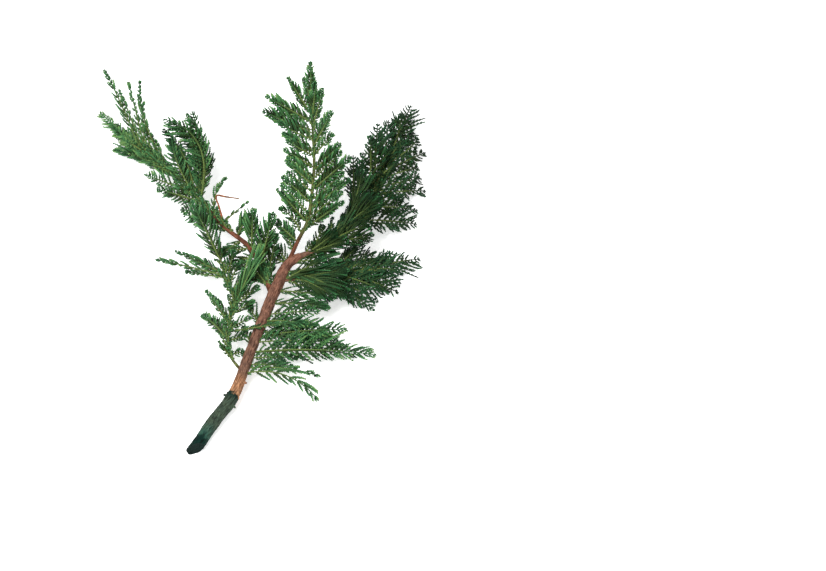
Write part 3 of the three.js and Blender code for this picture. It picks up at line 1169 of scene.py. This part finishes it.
    def bend(self, rod: bpy.types.Object) -> None:
        """Bends the straight rod along its route with a curve.

        Args:
            rod: The straight rod.
        """
        points = self.path.points
        if self.overrun:
            points = np.vstack([points[0] - self.path.headings[0] * self.overrun, points])
        data = bpy.data.curves.new("route", "CURVE")
        data.dimensions = "3D"
        data.twist_mode = "MINIMUM"
        spline = data.splines.new("POLY")
        spline.points.add(len(points) - 1)
        places = np.hstack([in_frame(points), np.ones((len(points), 1))])
        spline.points.foreach_set("co", places.astype(np.float32).ravel())
        route = bpy.data.objects.new("route", data)
        bpy.context.scene.collection.objects.link(route)
        modifier = rod.modifiers.new("Bend", "CURVE")
        modifier.object = route
        modifier.deform_axis = "POS_X"
        bpy.context.view_layer.objects.active = rod
        bpy.ops.object.modifier_apply(modifier=modifier.name)
        bpy.data.objects.remove(route)
        rod.data.shade_smooth()


@dataclass(frozen=True)
class StemCut:
    """The slanted saw cut at the stem's foot, with a blunt facet where its point broke off.

    Lengths are in millimetres.

    Attributes:
        slant: How the cut leans to the right and upwards.
        blunt_past: How far past the centre line's foot the blunt facet lies.
        rim: The width of the cut's rim.
        dish: How deep its middle is worn.
        reach: How far from the saw's plane a face may lie and still belong to the cut.
        facing: How squarely such a face looks out of the cut.
    """

    slant: Point = (1.25, 0.0, 0.3)
    blunt_past: float = 5.5
    rim: float = 0.5
    dish: float = 0.25
    reach: float = 2.0
    facing: float = 0.8

    def make(self, stem: bpy.types.Object, path: Path, finish: bpy.types.Material) -> None:
        """Saws the stem's foot off on a slant and dresses the cut.

        Args:
            stem: The stem, in its place.
            path: The stem's route.
            finish: The cut's finish.
        """
        place = Vector(in_frame(path.points[0]))
        ahead = Vector(path.headings[0])
        lean = Vector(self.slant) - ahead * ahead.dot(self.slant)
        way = (ahead - lean).normalized()
        bpy.ops.object.select_all(action="DESELECT")
        stem.select_set(True)
        bpy.context.view_layer.objects.active = stem
        bpy.ops.object.mode_set(mode="EDIT")
        bpy.ops.mesh.select_mode(type="FACE")
        cuts = ((place - ahead * self.blunt_past * MM, ahead), (place, way))
        for spot, normal in cuts:
            bpy.ops.mesh.select_all(action="SELECT")
            bpy.ops.mesh.bisect(plane_co=spot, plane_no=normal, use_fill=True, clear_inner=True)
        bpy.ops.mesh.inset(thickness=self.rim * MM, use_even_offset=False)
        bpy.ops.mesh.inset(thickness=self.rim * MM, depth=-self.dish * MM, use_even_offset=False)
        bpy.ops.mesh.inset(thickness=2 * self.rim * MM, use_even_offset=False)
        bpy.ops.object.mode_set(mode="OBJECT")
        stem.data.materials.append(finish)
        for face in stem.data.polygons:
            for spot, normal in cuts:
                near = abs((face.center - spot).dot(normal)) < self.reach * MM
                if near and face.normal.dot(normal) < -self.facing:
                    face.material_index = 1
                    face.use_smooth = False


@dataclass(frozen=True)
class WhorlShape:
    """The corners and triangles of one whorl of scale leaves, of length one along +Z and about one wide."""

    corners: np.ndarray
    triangles: np.ndarray


@dataclass(frozen=True)
class ScaleWhorl:
    """One whorl of scale leaves, which every shoot repeats: flat and keeled, with two side points."""

    shoulder_at: float = 0.5
    thickness: float = 0.62
    point_lift: float = 0.14

    def model(self) -> WhorlShape:
        """Models the whorl from a four-sided cone whose foot is drawn out to a point.

        Returns:
            The whorl's corners and triangles.
        """
        bpy.ops.object.select_all(action="DESELECT")
        depth = 1 - self.shoulder_at
        bpy.ops.mesh.primitive_cone_add(
            vertices=4, radius1=0.5, radius2=0, depth=depth, location=(0, 0, 1 - depth / 2)
        )
        scale = bpy.context.object
        bpy.ops.object.transform_apply(location=True, rotation=True, scale=True)
        bpy.ops.object.mode_set(mode="EDIT")
        bpy.ops.mesh.select_mode(type="VERT")
        self.select(scale, lambda spot: abs(spot.z - self.shoulder_at) < 0.01)
        bpy.ops.mesh.poke(offset=self.shoulder_at)
        bpy.ops.mesh.select_all(action="SELECT")
        bpy.ops.transform.resize(value=(1, self.thickness, 1), center_override=(0, 0, 0))
        self.select(scale, lambda spot: abs(spot.x) > 0.1)
        bpy.ops.transform.translate(value=(0, 0, self.point_lift))
        bpy.ops.object.mode_set(mode="OBJECT")
        mesh = scale.data
        mesh.calc_loop_triangles()
        corners = np.array([vertex.co for vertex in mesh.vertices])
        triangles = np.array([triangle.vertices for triangle in mesh.loop_triangles])
        bpy.data.objects.remove(scale)
        return WhorlShape(corners, triangles)

    def select(self, scale: bpy.types.Object, wanted: Callable[[Vector], bool]) -> None:
        """Selects, in edit mode, only the corners that pass a test.

        Args:
            scale: The object that is being edited.
            wanted: The test, which takes a corner's place.
        """
        bpy.ops.mesh.select_all(action="DESELECT")
        sculpt = bmesh.from_edit_mesh(scale.data)
        for vertex in sculpt.verts:
            vertex.select_set(wanted(vertex.co))
        sculpt.select_flush(True)
        bmesh.update_edit_mesh(scale.data)


@dataclass
class Whorls:
    """Whorls in a spray's flat coordinates: along its midrib, across it and above it, in millimetres."""

    along: np.ndarray
    across: np.ndarray
    above: np.ndarray
    heading: np.ndarray
    climb: np.ndarray
    length: np.ndarray
    width: np.ndarray
    tone: np.ndarray
    # How fresh the green is, lowered also as painted shade.
    fresh: np.ndarray
    woody: np.ndarray
    roll: np.ndarray

    @classmethod
    def joined(cls, groups: list["Whorls"]) -> "Whorls":
        """Puts several groups of whorls into one."""
        names = cls.__dataclass_fields__
        return cls(*(np.concatenate([getattr(group, name) for group in groups]) for name in names))


@dataclass(frozen=True)
class Shoot:
    """One scale-leaved shoot in a spray's flat coordinates. Angles are in radians."""

    foot: Point
    heading: float
    curl: float
    length: float
    climb: float
    width: float
    pitch: float
    tone: float
    # How fresh the green is, lowered also as painted shade.
    fresh: tuple[float, float]
    woody: float = 0.0

    OVERLAP = 2.3
    TIP_TAPER = 0.35
    ROLL = 0.22

    def whorls(self, chance: np.random.Generator) -> Whorls:
        """Chains whorls from the shoot's foot to its tip.

        Args:
            chance: The source of small differences.

        Returns:
            The shoot's whorls.
        """
        count = max(2, round(self.length / self.pitch))
        pitch = self.length / (count - 1 + self.OVERLAP)
        place = np.arange(count) / max(1, count - 1)
        heading = self.heading + self.curl * place
        steps = np.stack([np.cos(heading), np.sin(heading), np.full(count, self.climb)]) * pitch
        spots = np.array(self.foot)[:, None] + np.cumsum(steps, axis=1) - steps
        width = self.width * (1 - self.TIP_TAPER * place**2)
        fresh = self.fresh[0] + (self.fresh[1] - self.fresh[0]) * place
        return Whorls(
            *spots,
            heading,
            np.full(count, self.climb),
            np.full(count, pitch * self.OVERLAP),
            width,
            np.full(count, self.tone),
            fresh,
            self.woody * (1 - smooth_step(place, 0.3, 1.0)),
            chance.normal(0, self.ROLL, count),
        )


@dataclass
class SprayBuilder:
    """Grows one spray: a midrib, branchlets to both sides of it, and side shoots on the longer branchlets."""

    spray: Spray
    foot: np.ndarray
    face: Point
    chance: np.random.Generator
    lightness: float = 0.0
    forward: float = 0.0

    # Lengths are in millimetres, angles in radians, and the rest are shares or slopes
    WHORL_PITCH = 2.1
    TOOTH_PITCH = 1.9
    TOOTH_GIRTH = 0.85
    TOOTH_CURL = 0.2
    MIDRIB_PITCH = 2.4
    MIDRIB_GIRTH = 2.0
    MIDRIB_GAIN = 0.4
    MIDRIB_WOODY = 0.75
    BRANCHLET_WOODY = 0.25
    BASE_FRESH = 0.14
    FIRST_BRANCHLET = 0.03
    LAST_BRANCHLET = 0.975
    LEAST_REACH = 1.5
    LEAST_BRANCHLET = 2.0
    LEAST_SIDE_SHOOT = 1.6
    LAST_SIDE_SHOOT = 0.9
    UNEVEN = 0.15
    SIDE_UNEVEN = 0.16

    def __post_init__(self) -> None:
        """Lays the midrib and the spray's flat directions."""
        tip = np.array(self.spray.tip, float)
        chord = unit(tip - self.foot)
        face = np.array(self.face, float)
        level = unit(face - chord * face.dot(chord))
        turn = math.radians(self.spray.turn)
        self.up = level * math.cos(turn) + np.cross(chord, level) * math.sin(turn)
        self.side = np.cross(self.up, chord)
        crown = (self.foot + tip) / 2 + self.up * 2 * self.spray.arch + self.side * 2 * self.spray.bend
        self.midrib = Path.arched(self.foot, crown, tip)

    def half_width(self, share: float, way: int) -> float:
        """The spray's width on one side at a share of its length: quick to widen, then tapering.

        Args:
            share: The share of the midrib's length.
            way: 1 for the left of the midrib, -1 for the right.

        Returns:
            The half width in millimetres.
        """
        opening = float(smooth_step(share, -0.15, BARE_STALK + 0.2))
        half = self.spray.width / 2 * self.spray.habit.value.breadth * (1 + self.forward * way)
        return half * opening * max(0.0, 1 - share) ** 0.55

    def shoots(self) -> Iterator[Shoot]:
        """Gives every shoot of the spray.

        Yields:
            The midrib's shoot, then each branchlet followed by its side shoots.
        """
        habit = self.spray.habit.value
        length = self.midrib.length
        low, high = habit.pitch_limits
        pitch = min(high, max(low, habit.pitch_share * self.spray.width))
        base = self.BASE_FRESH + self.lightness
        yield Shoot(
            foot=(0.0, 0.0, 0.0),
            heading=0.0,
            curl=0.0,
            length=length,
            climb=0.0,
            width=self.MIDRIB_GIRTH,
            pitch=self.MIDRIB_PITCH,
            tone=0.5,
            fresh=(base, base + self.MIDRIB_GAIN),
            woody=self.MIDRIB_WOODY,
        )
        for way in (1, -1):
            root = length * self.FIRST_BRANCHLET + pitch * self.chance.uniform(0.2, 0.9)
            while root < length * self.LAST_BRANCHLET:
                share = root / length
                if self.chance.random() < habit.fullness:
                    yield from self.branchlet(way, root, share, pitch, base)
                root += pitch * self.chance.uniform(0.8, 1.2) * (1 - 0.25 * share)

    def branchlet(self, way: int, root: float, share: float, pitch: float, base: float) -> Iterator[Shoot]:
        """Gives one branchlet and its side shoots.

        Args:
            way: 1 for the left of the midrib, -1 for the right.
            root: How far along the midrib it leaves, in millimetres.
            share: The same as a share of the midrib.
            pitch: The pitch of the branchlets, in millimetres.
            base: How fresh the green is at the midrib.

        Yields:
            The branchlet's shoot, then its side shoots.
        """
        habit = self.spray.habit.value
        chance = self.chance
        lean = math.radians(habit.lean * chance.uniform(0.8, 1.2) * (1 - 0.3 * share))
        curl = -math.radians(habit.curl * chance.uniform(0.6, 1.4))
        mean = max(0.2, lean + curl / 2)
        reach = max(self.LEAST_REACH, self.half_width(share, way) * chance.triangular(0.5, 1.0, 1.15))
        ahead = (self.midrib.length - root) * (0.98 - 0.2 * share)
        length = min(reach / math.sin(mean), ahead / math.cos(mean))
        if length < self.LEAST_BRANCHLET:
            return
        main = Shoot(
            foot=(root, 0.0, 0.0),
            heading=way * lean,
            curl=way * curl,
            length=length,
            climb=chance.normal(0, self.UNEVEN),
            width=habit.girth,
            pitch=self.WHORL_PITCH,
            tone=chance.random(),
            # Darker at the branchlet's foot, as painted shade inside the spray, and fresher towards its tip.
            fresh=(base - 0.16 + 0.2 * share, base + 0.5 + 0.28 * share),
            woody=self.BRANCHLET_WOODY * (1 - share),
        )
        yield main
        if length >= habit.forks_from:
            yield from self.side_shoots(main, way, pitch * math.sin(mean))

    def side_shoots(self, main: Shoot, way: int, space: float) -> Iterator[Shoot]:
        """Gives a branchlet's side shoots, which leave it to alternate sides.

        Args:
            main: The branchlet.
            way: 1 where it lies left of the midrib, -1 where it lies right.
            space: The space between neighbouring branchlets, in millimetres.

        Yields:
            The side shoots, foot first.
        """
        habit = self.spray.habit.value
        chance = self.chance
        count = int(main.length / habit.side_pitch)
        for i in range(1, count):
            place = i / count
            if place > self.LAST_SIDE_SHOOT:
                continue
            middle = main.heading + main.curl * place / 2
            hand = way if i % 2 else -way
            lean = math.radians(habit.side_lean * chance.uniform(0.85, 1.15))
            reach = habit.side_reach * space * (1 - place) ** 0.4 * chance.uniform(0.6, 1.1)
            reach *= (0.5 if hand == way else 0.75) / math.sin(lean)
            if reach < self.LEAST_SIDE_SHOOT:
                continue
            yield Shoot(
                foot=(
                    main.foot[0] + math.cos(middle) * main.length * place,
                    math.sin(middle) * main.length * place,
                    main.climb * main.length * place,
                ),
                heading=main.heading + main.curl * place + hand * lean,
                curl=-hand * self.TOOTH_CURL,
                length=reach,
                climb=main.climb + chance.normal(0, self.SIDE_UNEVEN),
                width=habit.girth * self.TOOTH_GIRTH,
                pitch=self.TOOTH_PITCH,
                tone=0.6 * main.tone + 0.4 * chance.random(),
                fresh=(main.fresh[0] + 0.2 * place, main.fresh[1] + 0.08),
            )

    def place(self, shape: WhorlShape) -> tuple[np.ndarray, Whorls]:
        """Grows the spray and bends it along its midrib.

        Args:
            shape: The whorl that every shoot repeats.

        Returns:
            The corners of every whorl in the drawing, one block each, and the whorls.
        """
        whorls = Whorls.joined([shoot.whorls(self.chance) for shoot in self.shoots()])
        length = self.midrib.length
        shares = np.clip(whorls.along / length, 0, 1)
        tangent = self.midrib.heading(shares)
        side = unit(self.side - tangent * (tangent @ self.side)[:, None])
        up = np.cross(tangent, side)
        above = whorls.above - SAG * np.abs(whorls.across)
        spare = (whorls.along - shares * length)[:, None]
        spots = self.midrib.at(shares) + tangent * spare
        spots = spots + side * whorls.across[:, None] + up * above[:, None]
        cosine = np.cos(whorls.heading)[:, None]
        sine = np.sin(whorls.heading)[:, None]
        droop = (whorls.climb - SAG * np.abs(np.sin(whorls.heading)))[:, None]
        ahead = unit(cosine * tangent + sine * side + droop * up)
        flat = cosine * side - sine * tangent
        thick = unit(np.cross(ahead, flat))
        wide = np.cross(thick, ahead)
        rolled = wide * np.cos(whorls.roll)[:, None] + thick * np.sin(whorls.roll)[:, None]
        thick = np.cross(ahead, rolled)
        corners = (
            spots[:, None, :]
            + shape.corners[None, :, 2:3] * (ahead * whorls.length[:, None])[:, None, :]
            + shape.corners[None, :, 0:1] * (rolled * whorls.width[:, None])[:, None, :]
            + shape.corners[None, :, 1:2] * (thick * whorls.width[:, None])[:, None, :]
        )
        return corners, whorls


class Foliage:
    """Makes joined meshes of whorls and dresses them."""

    def __init__(self, shape: WhorlShape, finish: bpy.types.Material) -> None:
        """Keeps what every foliage piece shares.

        Args:
            shape: The whorl that every shoot repeats.
            finish: The leaves' finish.
        """
        self.shape = shape
        self.finish = finish

    def piece(self, name: str, builders: list[SprayBuilder]) -> bpy.types.Object:
        """Grows sprays into one piece.

        Args:
            name: The piece's name.
            builders: The sprays that it holds.

        Returns:
            The piece's object.
        """
        grown = [builder.place(self.shape) for builder in builders]
        corners = np.concatenate([block for block, _ in grown])
        whorls = Whorls.joined([group for _, group in grown])
        corners[..., 2] = np.maximum(corners[..., 2], FLOOR_CLEARANCE)
        count, each = corners.shape[:2]
        triangles = self.shape.triangles[None] + (np.arange(count) * each)[:, None, None]
        mesh = bpy.data.meshes.new(name)
        mesh.vertices.add(count * each)
        mesh.vertices.foreach_set("co", in_frame(corners.reshape(-1, 3)).astype(np.float32).ravel())
        faces = count * len(self.shape.triangles)
        mesh.loops.add(faces * 3)
        mesh.loops.foreach_set("vertex_index", triangles.astype(np.int32).ravel())
        mesh.polygons.add(faces)
        mesh.polygons.foreach_set("loop_start", np.arange(faces, dtype=np.int32) * 3)
        mesh.update(calc_edges=True)
        for key in ("tone", "fresh", "woody"):
            layer = mesh.attributes.new(key, "FLOAT", "POINT")
            layer.data.foreach_set("value", np.repeat(getattr(whorls, key), each).astype(np.float32))
        mesh.materials.append(self.finish)
        piece = bpy.data.objects.new(name, mesh)
        bpy.context.scene.collection.objects.link(piece)
        return piece


@dataclass
class Branch:
    """The whole branch: its limbs' wood, their short shoots and their sprays."""

    foliage: Foliage
    cut_finish: bpy.types.Material

    # Pairs are the ranges that chance picks from
    FORWARD = 0.22
    # How much darker a spray's lower layer is: painted shade.
    SHADE = 0.42
    STEM_STUBS = (Stub(0.25, 170, 3.4), Stub(0.27, 10, 2.0), Stub(0.36, 165, 2.2), Stub(0.93, 120, 1.8))
    STEM_LEDGE = 0.288
    STEM_OVERRUN = 9.0
    END_OVERRUN = 5.0
    FIRST_SEED = 100
    UNDER_DROP = (3.5, 6.5)
    UNDER_REACH = (0.84, 0.93)
    UNDER_WIDTH = 0.92
    UNDER_TURN = 14
    LESSER_REACH = (0.8, 0.96)
    LESSER_WIDTH = (0.85, 1.05)
    LESSER_LIGHT = (-0.14, 0.06)
    LESSER_TURN = 9
    BEND_SWAY = 1.5
    SHOOT_SPREAD = (0.05, 0.6)
    SHOOT_LIFT = (-0.1, 0.4)
    SHOOT_LENGTH = (0.55, 1.0)
    SHOOT_WIDTH = 0.42
    SHOOT_ARCH = (0.5, 2.0)
    SHOOT_LIGHT = (-0.16, 0.06)
    FEATHERY_SHOOTS = 0.4

    def build(self) -> None:
        """Builds every limb, foot first."""
        self.paths: dict[str, Path] = {}
        for order, limb in enumerate(LIMBS):
            self.paths[limb.name] = self.route(limb)
            self.wood(limb)
            chance = np.random.default_rng(self.FIRST_SEED + order)
            if limb.shoot_pitch:
                self.short_shoots(limb, chance)
            if limb.fans or limb.lesser:
                self.lesser_sprays(limb, chance)
            for i, spray in enumerate(limb.sprays):
                self.spray(limb, i, spray, chance)

    def foot_on(self, name: str, share: float) -> np.ndarray:
        """Where something leaves a limb's centre line. What leaves at its very end starts just past it.

        Args:
            name: The limb's name.
            share: The share of the limb's length.

        Returns:
            The point in the drawing.
        """
        path = self.paths[name]
        return path.at(share) + path.heading(share) * (FIT_GAP if share == 1 else 0.0)

    def route(self, limb: Limb) -> Path:
        """Draws a limb's centre line.

        Args:
            limb: The limb.

        Returns:
            Its centre line, from its parent's centre line to its end.
        """
        knots = [np.array(point, float) for point in limb.route]
        if limb.parent:
            knots.insert(0, self.foot_on(limb.parent, limb.at))
        return Path.through(np.array(knots))

    def wood(self, limb: Limb) -> None:
        """Builds a limb's wood and lets it stand for its solid.

        Args:
            limb: The limb.
        """
        path = self.paths[limb.name]
        if limb.parent:
            overrun = self.END_OVERRUN if limb.at == 1 else 0.0
            builder = WoodBuilder(limb, path, sides=8, ring_pitch=2.6, levels=1, relief=0.25, overrun=overrun)
        else:
            builder = WoodBuilder(
                limb,
                path,
                sides=12,
                ring_pitch=3.2,
                levels=2,
                relief=0.55,
                overrun=self.STEM_OVERRUN,
                stubs=self.STEM_STUBS,
                ledge=self.STEM_LEDGE,
            )
        piece = builder.build()
        finish = WoodFinish(f"{limb.name}_bark", WOOD_ZONES[limb.name], path.length)
        piece.data.materials.append(finish.material())
        if not limb.parent:
            StemCut().make(piece, path, self.cut_finish)
        self.report(piece, limb.slot, limb.name)

    def spray(self, limb: Limb, order: int, spray: Spray, chance: np.random.Generator) -> None:
        """Grows one of a limb's sprays in place of its solid.

        Args:
            limb: The limb that carries it.
            order: Its place in the limb's list.
            spray: The spray.
            chance: The source of small differences.
        """
        node = f"{limb.name}_spray_{order + 1:02d}"
        foot = self.foot_on(limb.name, spray.at)
        light = limb.light + spray.light + chance.uniform(-0.05, 0.05)
        builders = [self.grower(limb, spray, foot, chance, light)]
        # Flat sprays get a lower layer, whose green is darkened as painted shade.
        if spray.habit in (FEATHERY, COMBED, NEEDLED):
            builders.append(self.under(limb, spray, foot, builders[0].up, chance, light))
        self.report(self.foliage.piece(f"{node}_leaves", builders), "foliage", node)

    def grower(
        self, limb: Limb, spray: Spray, foot: np.ndarray, chance: np.random.Generator, light: float
    ) -> SprayBuilder:
        """Readies a spray whose side towards the limb's end is the wider one.

        Args:
            limb: The limb that carries it.
            spray: The spray.
            foot: Where it leaves the limb's centre line.
            chance: The source of small differences.
            light: How much lighter its green is, raised for fresher growth and lowered as painted shade.

        Returns:
            The spray, ready to grow.
        """
        builder = SprayBuilder(spray, foot, limb.face, chance, light)
        ahead = self.paths[limb.name].heading(spray.at)
        builder.forward = self.FORWARD * float(np.sign(builder.side @ ahead))
        return builder

    def under(
        self,
        limb: Limb,
        spray: Spray,
        foot: np.ndarray,
        up: np.ndarray,
        chance: np.random.Generator,
        light: float,
    ) -> SprayBuilder:
        """Readies the lower layer of a spray, a little smaller and turned aside, whose green is darkened as
        painted shade.

        Args:
            limb: The limb that carries it.
            spray: The spray above it.
            foot: Where both leave the limb's centre line.
            up: The way in which the spray's upper face points.
            chance: The source of small differences.
            light: How much lighter the green of the spray above is, raised for fresher growth and lowered as
                painted shade.

        Returns:
            The lower layer, ready to grow.
        """
        drop = up * chance.uniform(*self.UNDER_DROP)
        tip = foot + (np.array(spray.tip, float) - foot) * chance.uniform(*self.UNDER_REACH) - drop
        tip[2] = max(1.0, tip[2])
        lower = Spray(
            spray.at,
            tuple(tip),
            spray.width * self.UNDER_WIDTH,
            spray.turn + chance.uniform(-self.UNDER_TURN, self.UNDER_TURN),
            spray.arch,
            spray.habit,
            spray.bend + chance.normal(0, self.BEND_SWAY),
        )
        return self.grower(limb, lower, foot - drop * 0.3, chance, light - self.SHADE)

    def lesser_sprays(self, limb: Limb, chance: np.random.Generator) -> None:
        """Grows the limb's lesser sprays, and more between its neighbouring sprays, within their tips.

        Args:
            limb: The limb that carries them.
            chance: The source of small differences.
        """
        builders = []
        for spray in limb.lesser:
            foot = self.foot_on(limb.name, spray.at)
            builders.append(self.grower(limb, spray, foot, chance, limb.light + spray.light))
        pairs = [pair for fan in limb.fans for pair in zip(fan, fan[1:])]
        for first, second in pairs:
            a, b = limb.sprays[first - 1], limb.sprays[second - 1]
            for i in range(limb.fill):
                blend = (i + 1) / (limb.fill + 1) + chance.uniform(-0.1, 0.1)
                at = min(0.99, a.at + (b.at - a.at) * blend + chance.uniform(-0.02, 0.02))
                foot = self.foot_on(limb.name, at)
                tip = np.array(a.tip, float) * (1 - blend) + np.array(b.tip, float) * blend
                tip = foot + (tip - foot) * chance.uniform(*self.LESSER_REACH)
                tip[2] = max(2.0, tip[2] + chance.uniform(-5, 5))
                width = (a.width * (1 - blend) + b.width * blend) * chance.uniform(*self.LESSER_WIDTH)
                turn = (a.turn + b.turn) / 2 + chance.normal(0, self.LESSER_TURN)
                habit = a.habit if chance.random() > blend else b.habit
                arch = (a.arch + b.arch) / 2
                bend = chance.normal(0, self.BEND_SWAY)
                spray = Spray(at, tuple(tip), width, turn, arch, habit, bend)
                light = limb.light + chance.uniform(*self.LESSER_LIGHT)
                builders.append(self.grower(limb, spray, foot, chance, light))
        self.report(self.foliage.piece(f"{limb.name}_lesser_sprays", builders), "foliage")

    def short_shoots(self, limb: Limb, chance: np.random.Generator) -> None:
        """Grows the short, leafy shoots that hide most of a limb between its sprays.

        Args:
            limb: The limb that carries them.
            chance: The source of small differences.
        """
        path = self.paths[limb.name]
        face = unit(np.array(limb.face, float))
        builders = []
        count = int(path.length * (1 - limb.shoots_from) / limb.shoot_pitch)
        for i in range(count):
            share = limb.shoots_from + (1 - limb.shoots_from) * (i + chance.uniform(0.2, 0.8)) / count
            if any(start < share < end for start, end in limb.bare):
                continue
            ahead = path.heading(share)
            left = unit(np.cross(face, ahead))
            way = (1 if i % 2 else -1) * chance.uniform(*self.SHOOT_SPREAD)
            lift = chance.uniform(*self.SHOOT_LIFT)
            out = unit(left * way + face * lift + ahead)
            reach = limb.shoot_reach * chance.uniform(*self.SHOOT_LENGTH) * (1 - 0.35 * share)
            foot = path.at(share)
            tip = foot + out * reach
            tilt = unit(face + left * chance.normal(0, 0.35) + ahead * chance.normal(-0.1, 0.2))
            habit = FEATHERY if chance.random() < self.FEATHERY_SHOOTS else COMBED
            arch = chance.uniform(*self.SHOOT_ARCH)
            spray = Spray(share, tuple(tip), reach * self.SHOOT_WIDTH, 0.0, arch, habit)
            light = limb.light + chance.uniform(*self.SHOOT_LIGHT)
            builders.append(SprayBuilder(spray, foot, tuple(tilt), chance, light))
        self.report(self.foliage.piece(f"{limb.name}_short_shoots", builders), "foliage")

    def report(self, piece: bpy.types.Object, slot: str, *nodes: str) -> None:
        """Fixes a finished piece to the frame and reports it.

        Args:
            piece: The piece.
            slot: The record's slot for its finish; not used.
            *nodes: The solids that it stands for.
        """
        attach(piece, BODY)
        if nodes:
            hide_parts(*nodes)
        LOG.info("%s: %d faces", piece.name, len(piece.data.polygons))


@dataclass(frozen=True)
class Softbox:
    """A square studio light that faces a point on the floor."""

    name: str
    place: Point
    size: float
    power: float
    aim: Point = (0.0, 0.0, 0.0)

    def build(self) -> None:
        """Hangs the light."""
        data = bpy.data.lights.new(self.name, "AREA")
        data.shape = "SQUARE"
        data.size = self.size
        data.energy = self.power
        light = bpy.data.objects.new(self.name, data)
        light.location = self.place
        light.rotation_euler = (Vector(self.aim) - Vector(self.place)).to_track_quat("-Z", "Y").to_euler()
        light.visible_camera = False
        bpy.context.scene.collection.objects.link(light)


@dataclass(frozen=True)
class Studio:
    """The pale floor, the soft lights and the camera.

    Lengths are in metres, but the camera's aim is a point of the drawing, in millimetres.
    """

    elevation: float = 50.0
    distance: float = 24.0
    field: float = 0.743
    aim: Point = (134.0, 189.5, 6.5)
    floor_size: float = 40.0
    floor_colour: Colour = (0.92, 0.92, 0.92)
    floor_roughness: float = 0.9
    white: Colour = (1.0, 1.0, 1.0)
    sight: float = 100.0
    sky: float = 0.1
    floor_glow: float = 0.62

    LIGHTS = (
        Softbox("key", (-0.7, -0.9, 2.0), 1.0, 72.0),
        Softbox("fill", (1.4, -0.3, 1.4), 1.6, 10.0),
        Softbox("back", (0.1, 1.5, 1.5), 1.4, 9.0),
    )

    def build(self) -> None:
        """Sets up the floor, the lights, the sky and the camera."""
        self.lay_floor()
        for light in self.LIGHTS:
            light.build()
        world = bpy.data.worlds.new("studio_sky")
        world.use_nodes = True
        background = world.node_tree.nodes["Background"]
        background.inputs["Color"].default_value = (*self.white, 1.0)
        background.inputs["Strength"].default_value = self.sky
        bpy.context.scene.world = world
        bpy.context.scene.view_settings.view_transform = "Standard"
        self.set_camera()

    def lay_floor(self) -> None:
        """Lays the pale floor just under the branch."""
        bpy.ops.object.select_all(action="DESELECT")
        bpy.ops.mesh.primitive_plane_add(size=self.floor_size)
        floor = bpy.context.object
        floor.name = "floor"
        sheet = NodeSheet("pale_floor")
        sheet.shader.inputs["Base Color"].default_value = (*self.floor_colour, 1.0)
        sheet.shader.inputs["Roughness"].default_value = self.floor_roughness
        sheet.shader.inputs["Emission Color"].default_value = (*self.white, 1.0)
        sheet.shader.inputs["Emission Strength"].default_value = self.floor_glow
        floor.data.materials.append(sheet.material)
        floor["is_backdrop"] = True

    def set_camera(self) -> None:
        """Looks down on the branch along +Y."""
        data = bpy.data.cameras.new("camera")
        data.lens = data.sensor_width * self.distance / self.field
        data.clip_end = self.sight
        camera = bpy.data.objects.new("camera", data)
        tilt = math.radians(self.elevation)
        aim = Vector(in_frame(np.array(self.aim)))
        back = Vector((0, -math.cos(tilt), math.sin(tilt)))
        camera.location = aim + back * self.distance
        camera.rotation_euler = (-back).to_track_quat("-Z", "Y").to_euler()
        bpy.context.scene.collection.objects.link(camera)
        bpy.context.scene.camera = camera


def write_sizes() -> None:
    """Measures the boxes of the solids and of the dressed part."""
    boxes = {"cad": CAD_BOX, "visual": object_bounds()}
    plain = {name: [list(corner) for corner in box] for name, box in boxes.items()}


def main() -> None:
    """Builds the studio and the branch."""
    logging.basicConfig(level=logging.INFO, format="%(message)s")
    Studio().build()
    foliage = Foliage(ScaleWhorl().model(), FoliageFinish().material())
    Branch(foliage, CutFinish().material()).build()
    write_sizes()


if __name__ == "__main__":
    main()
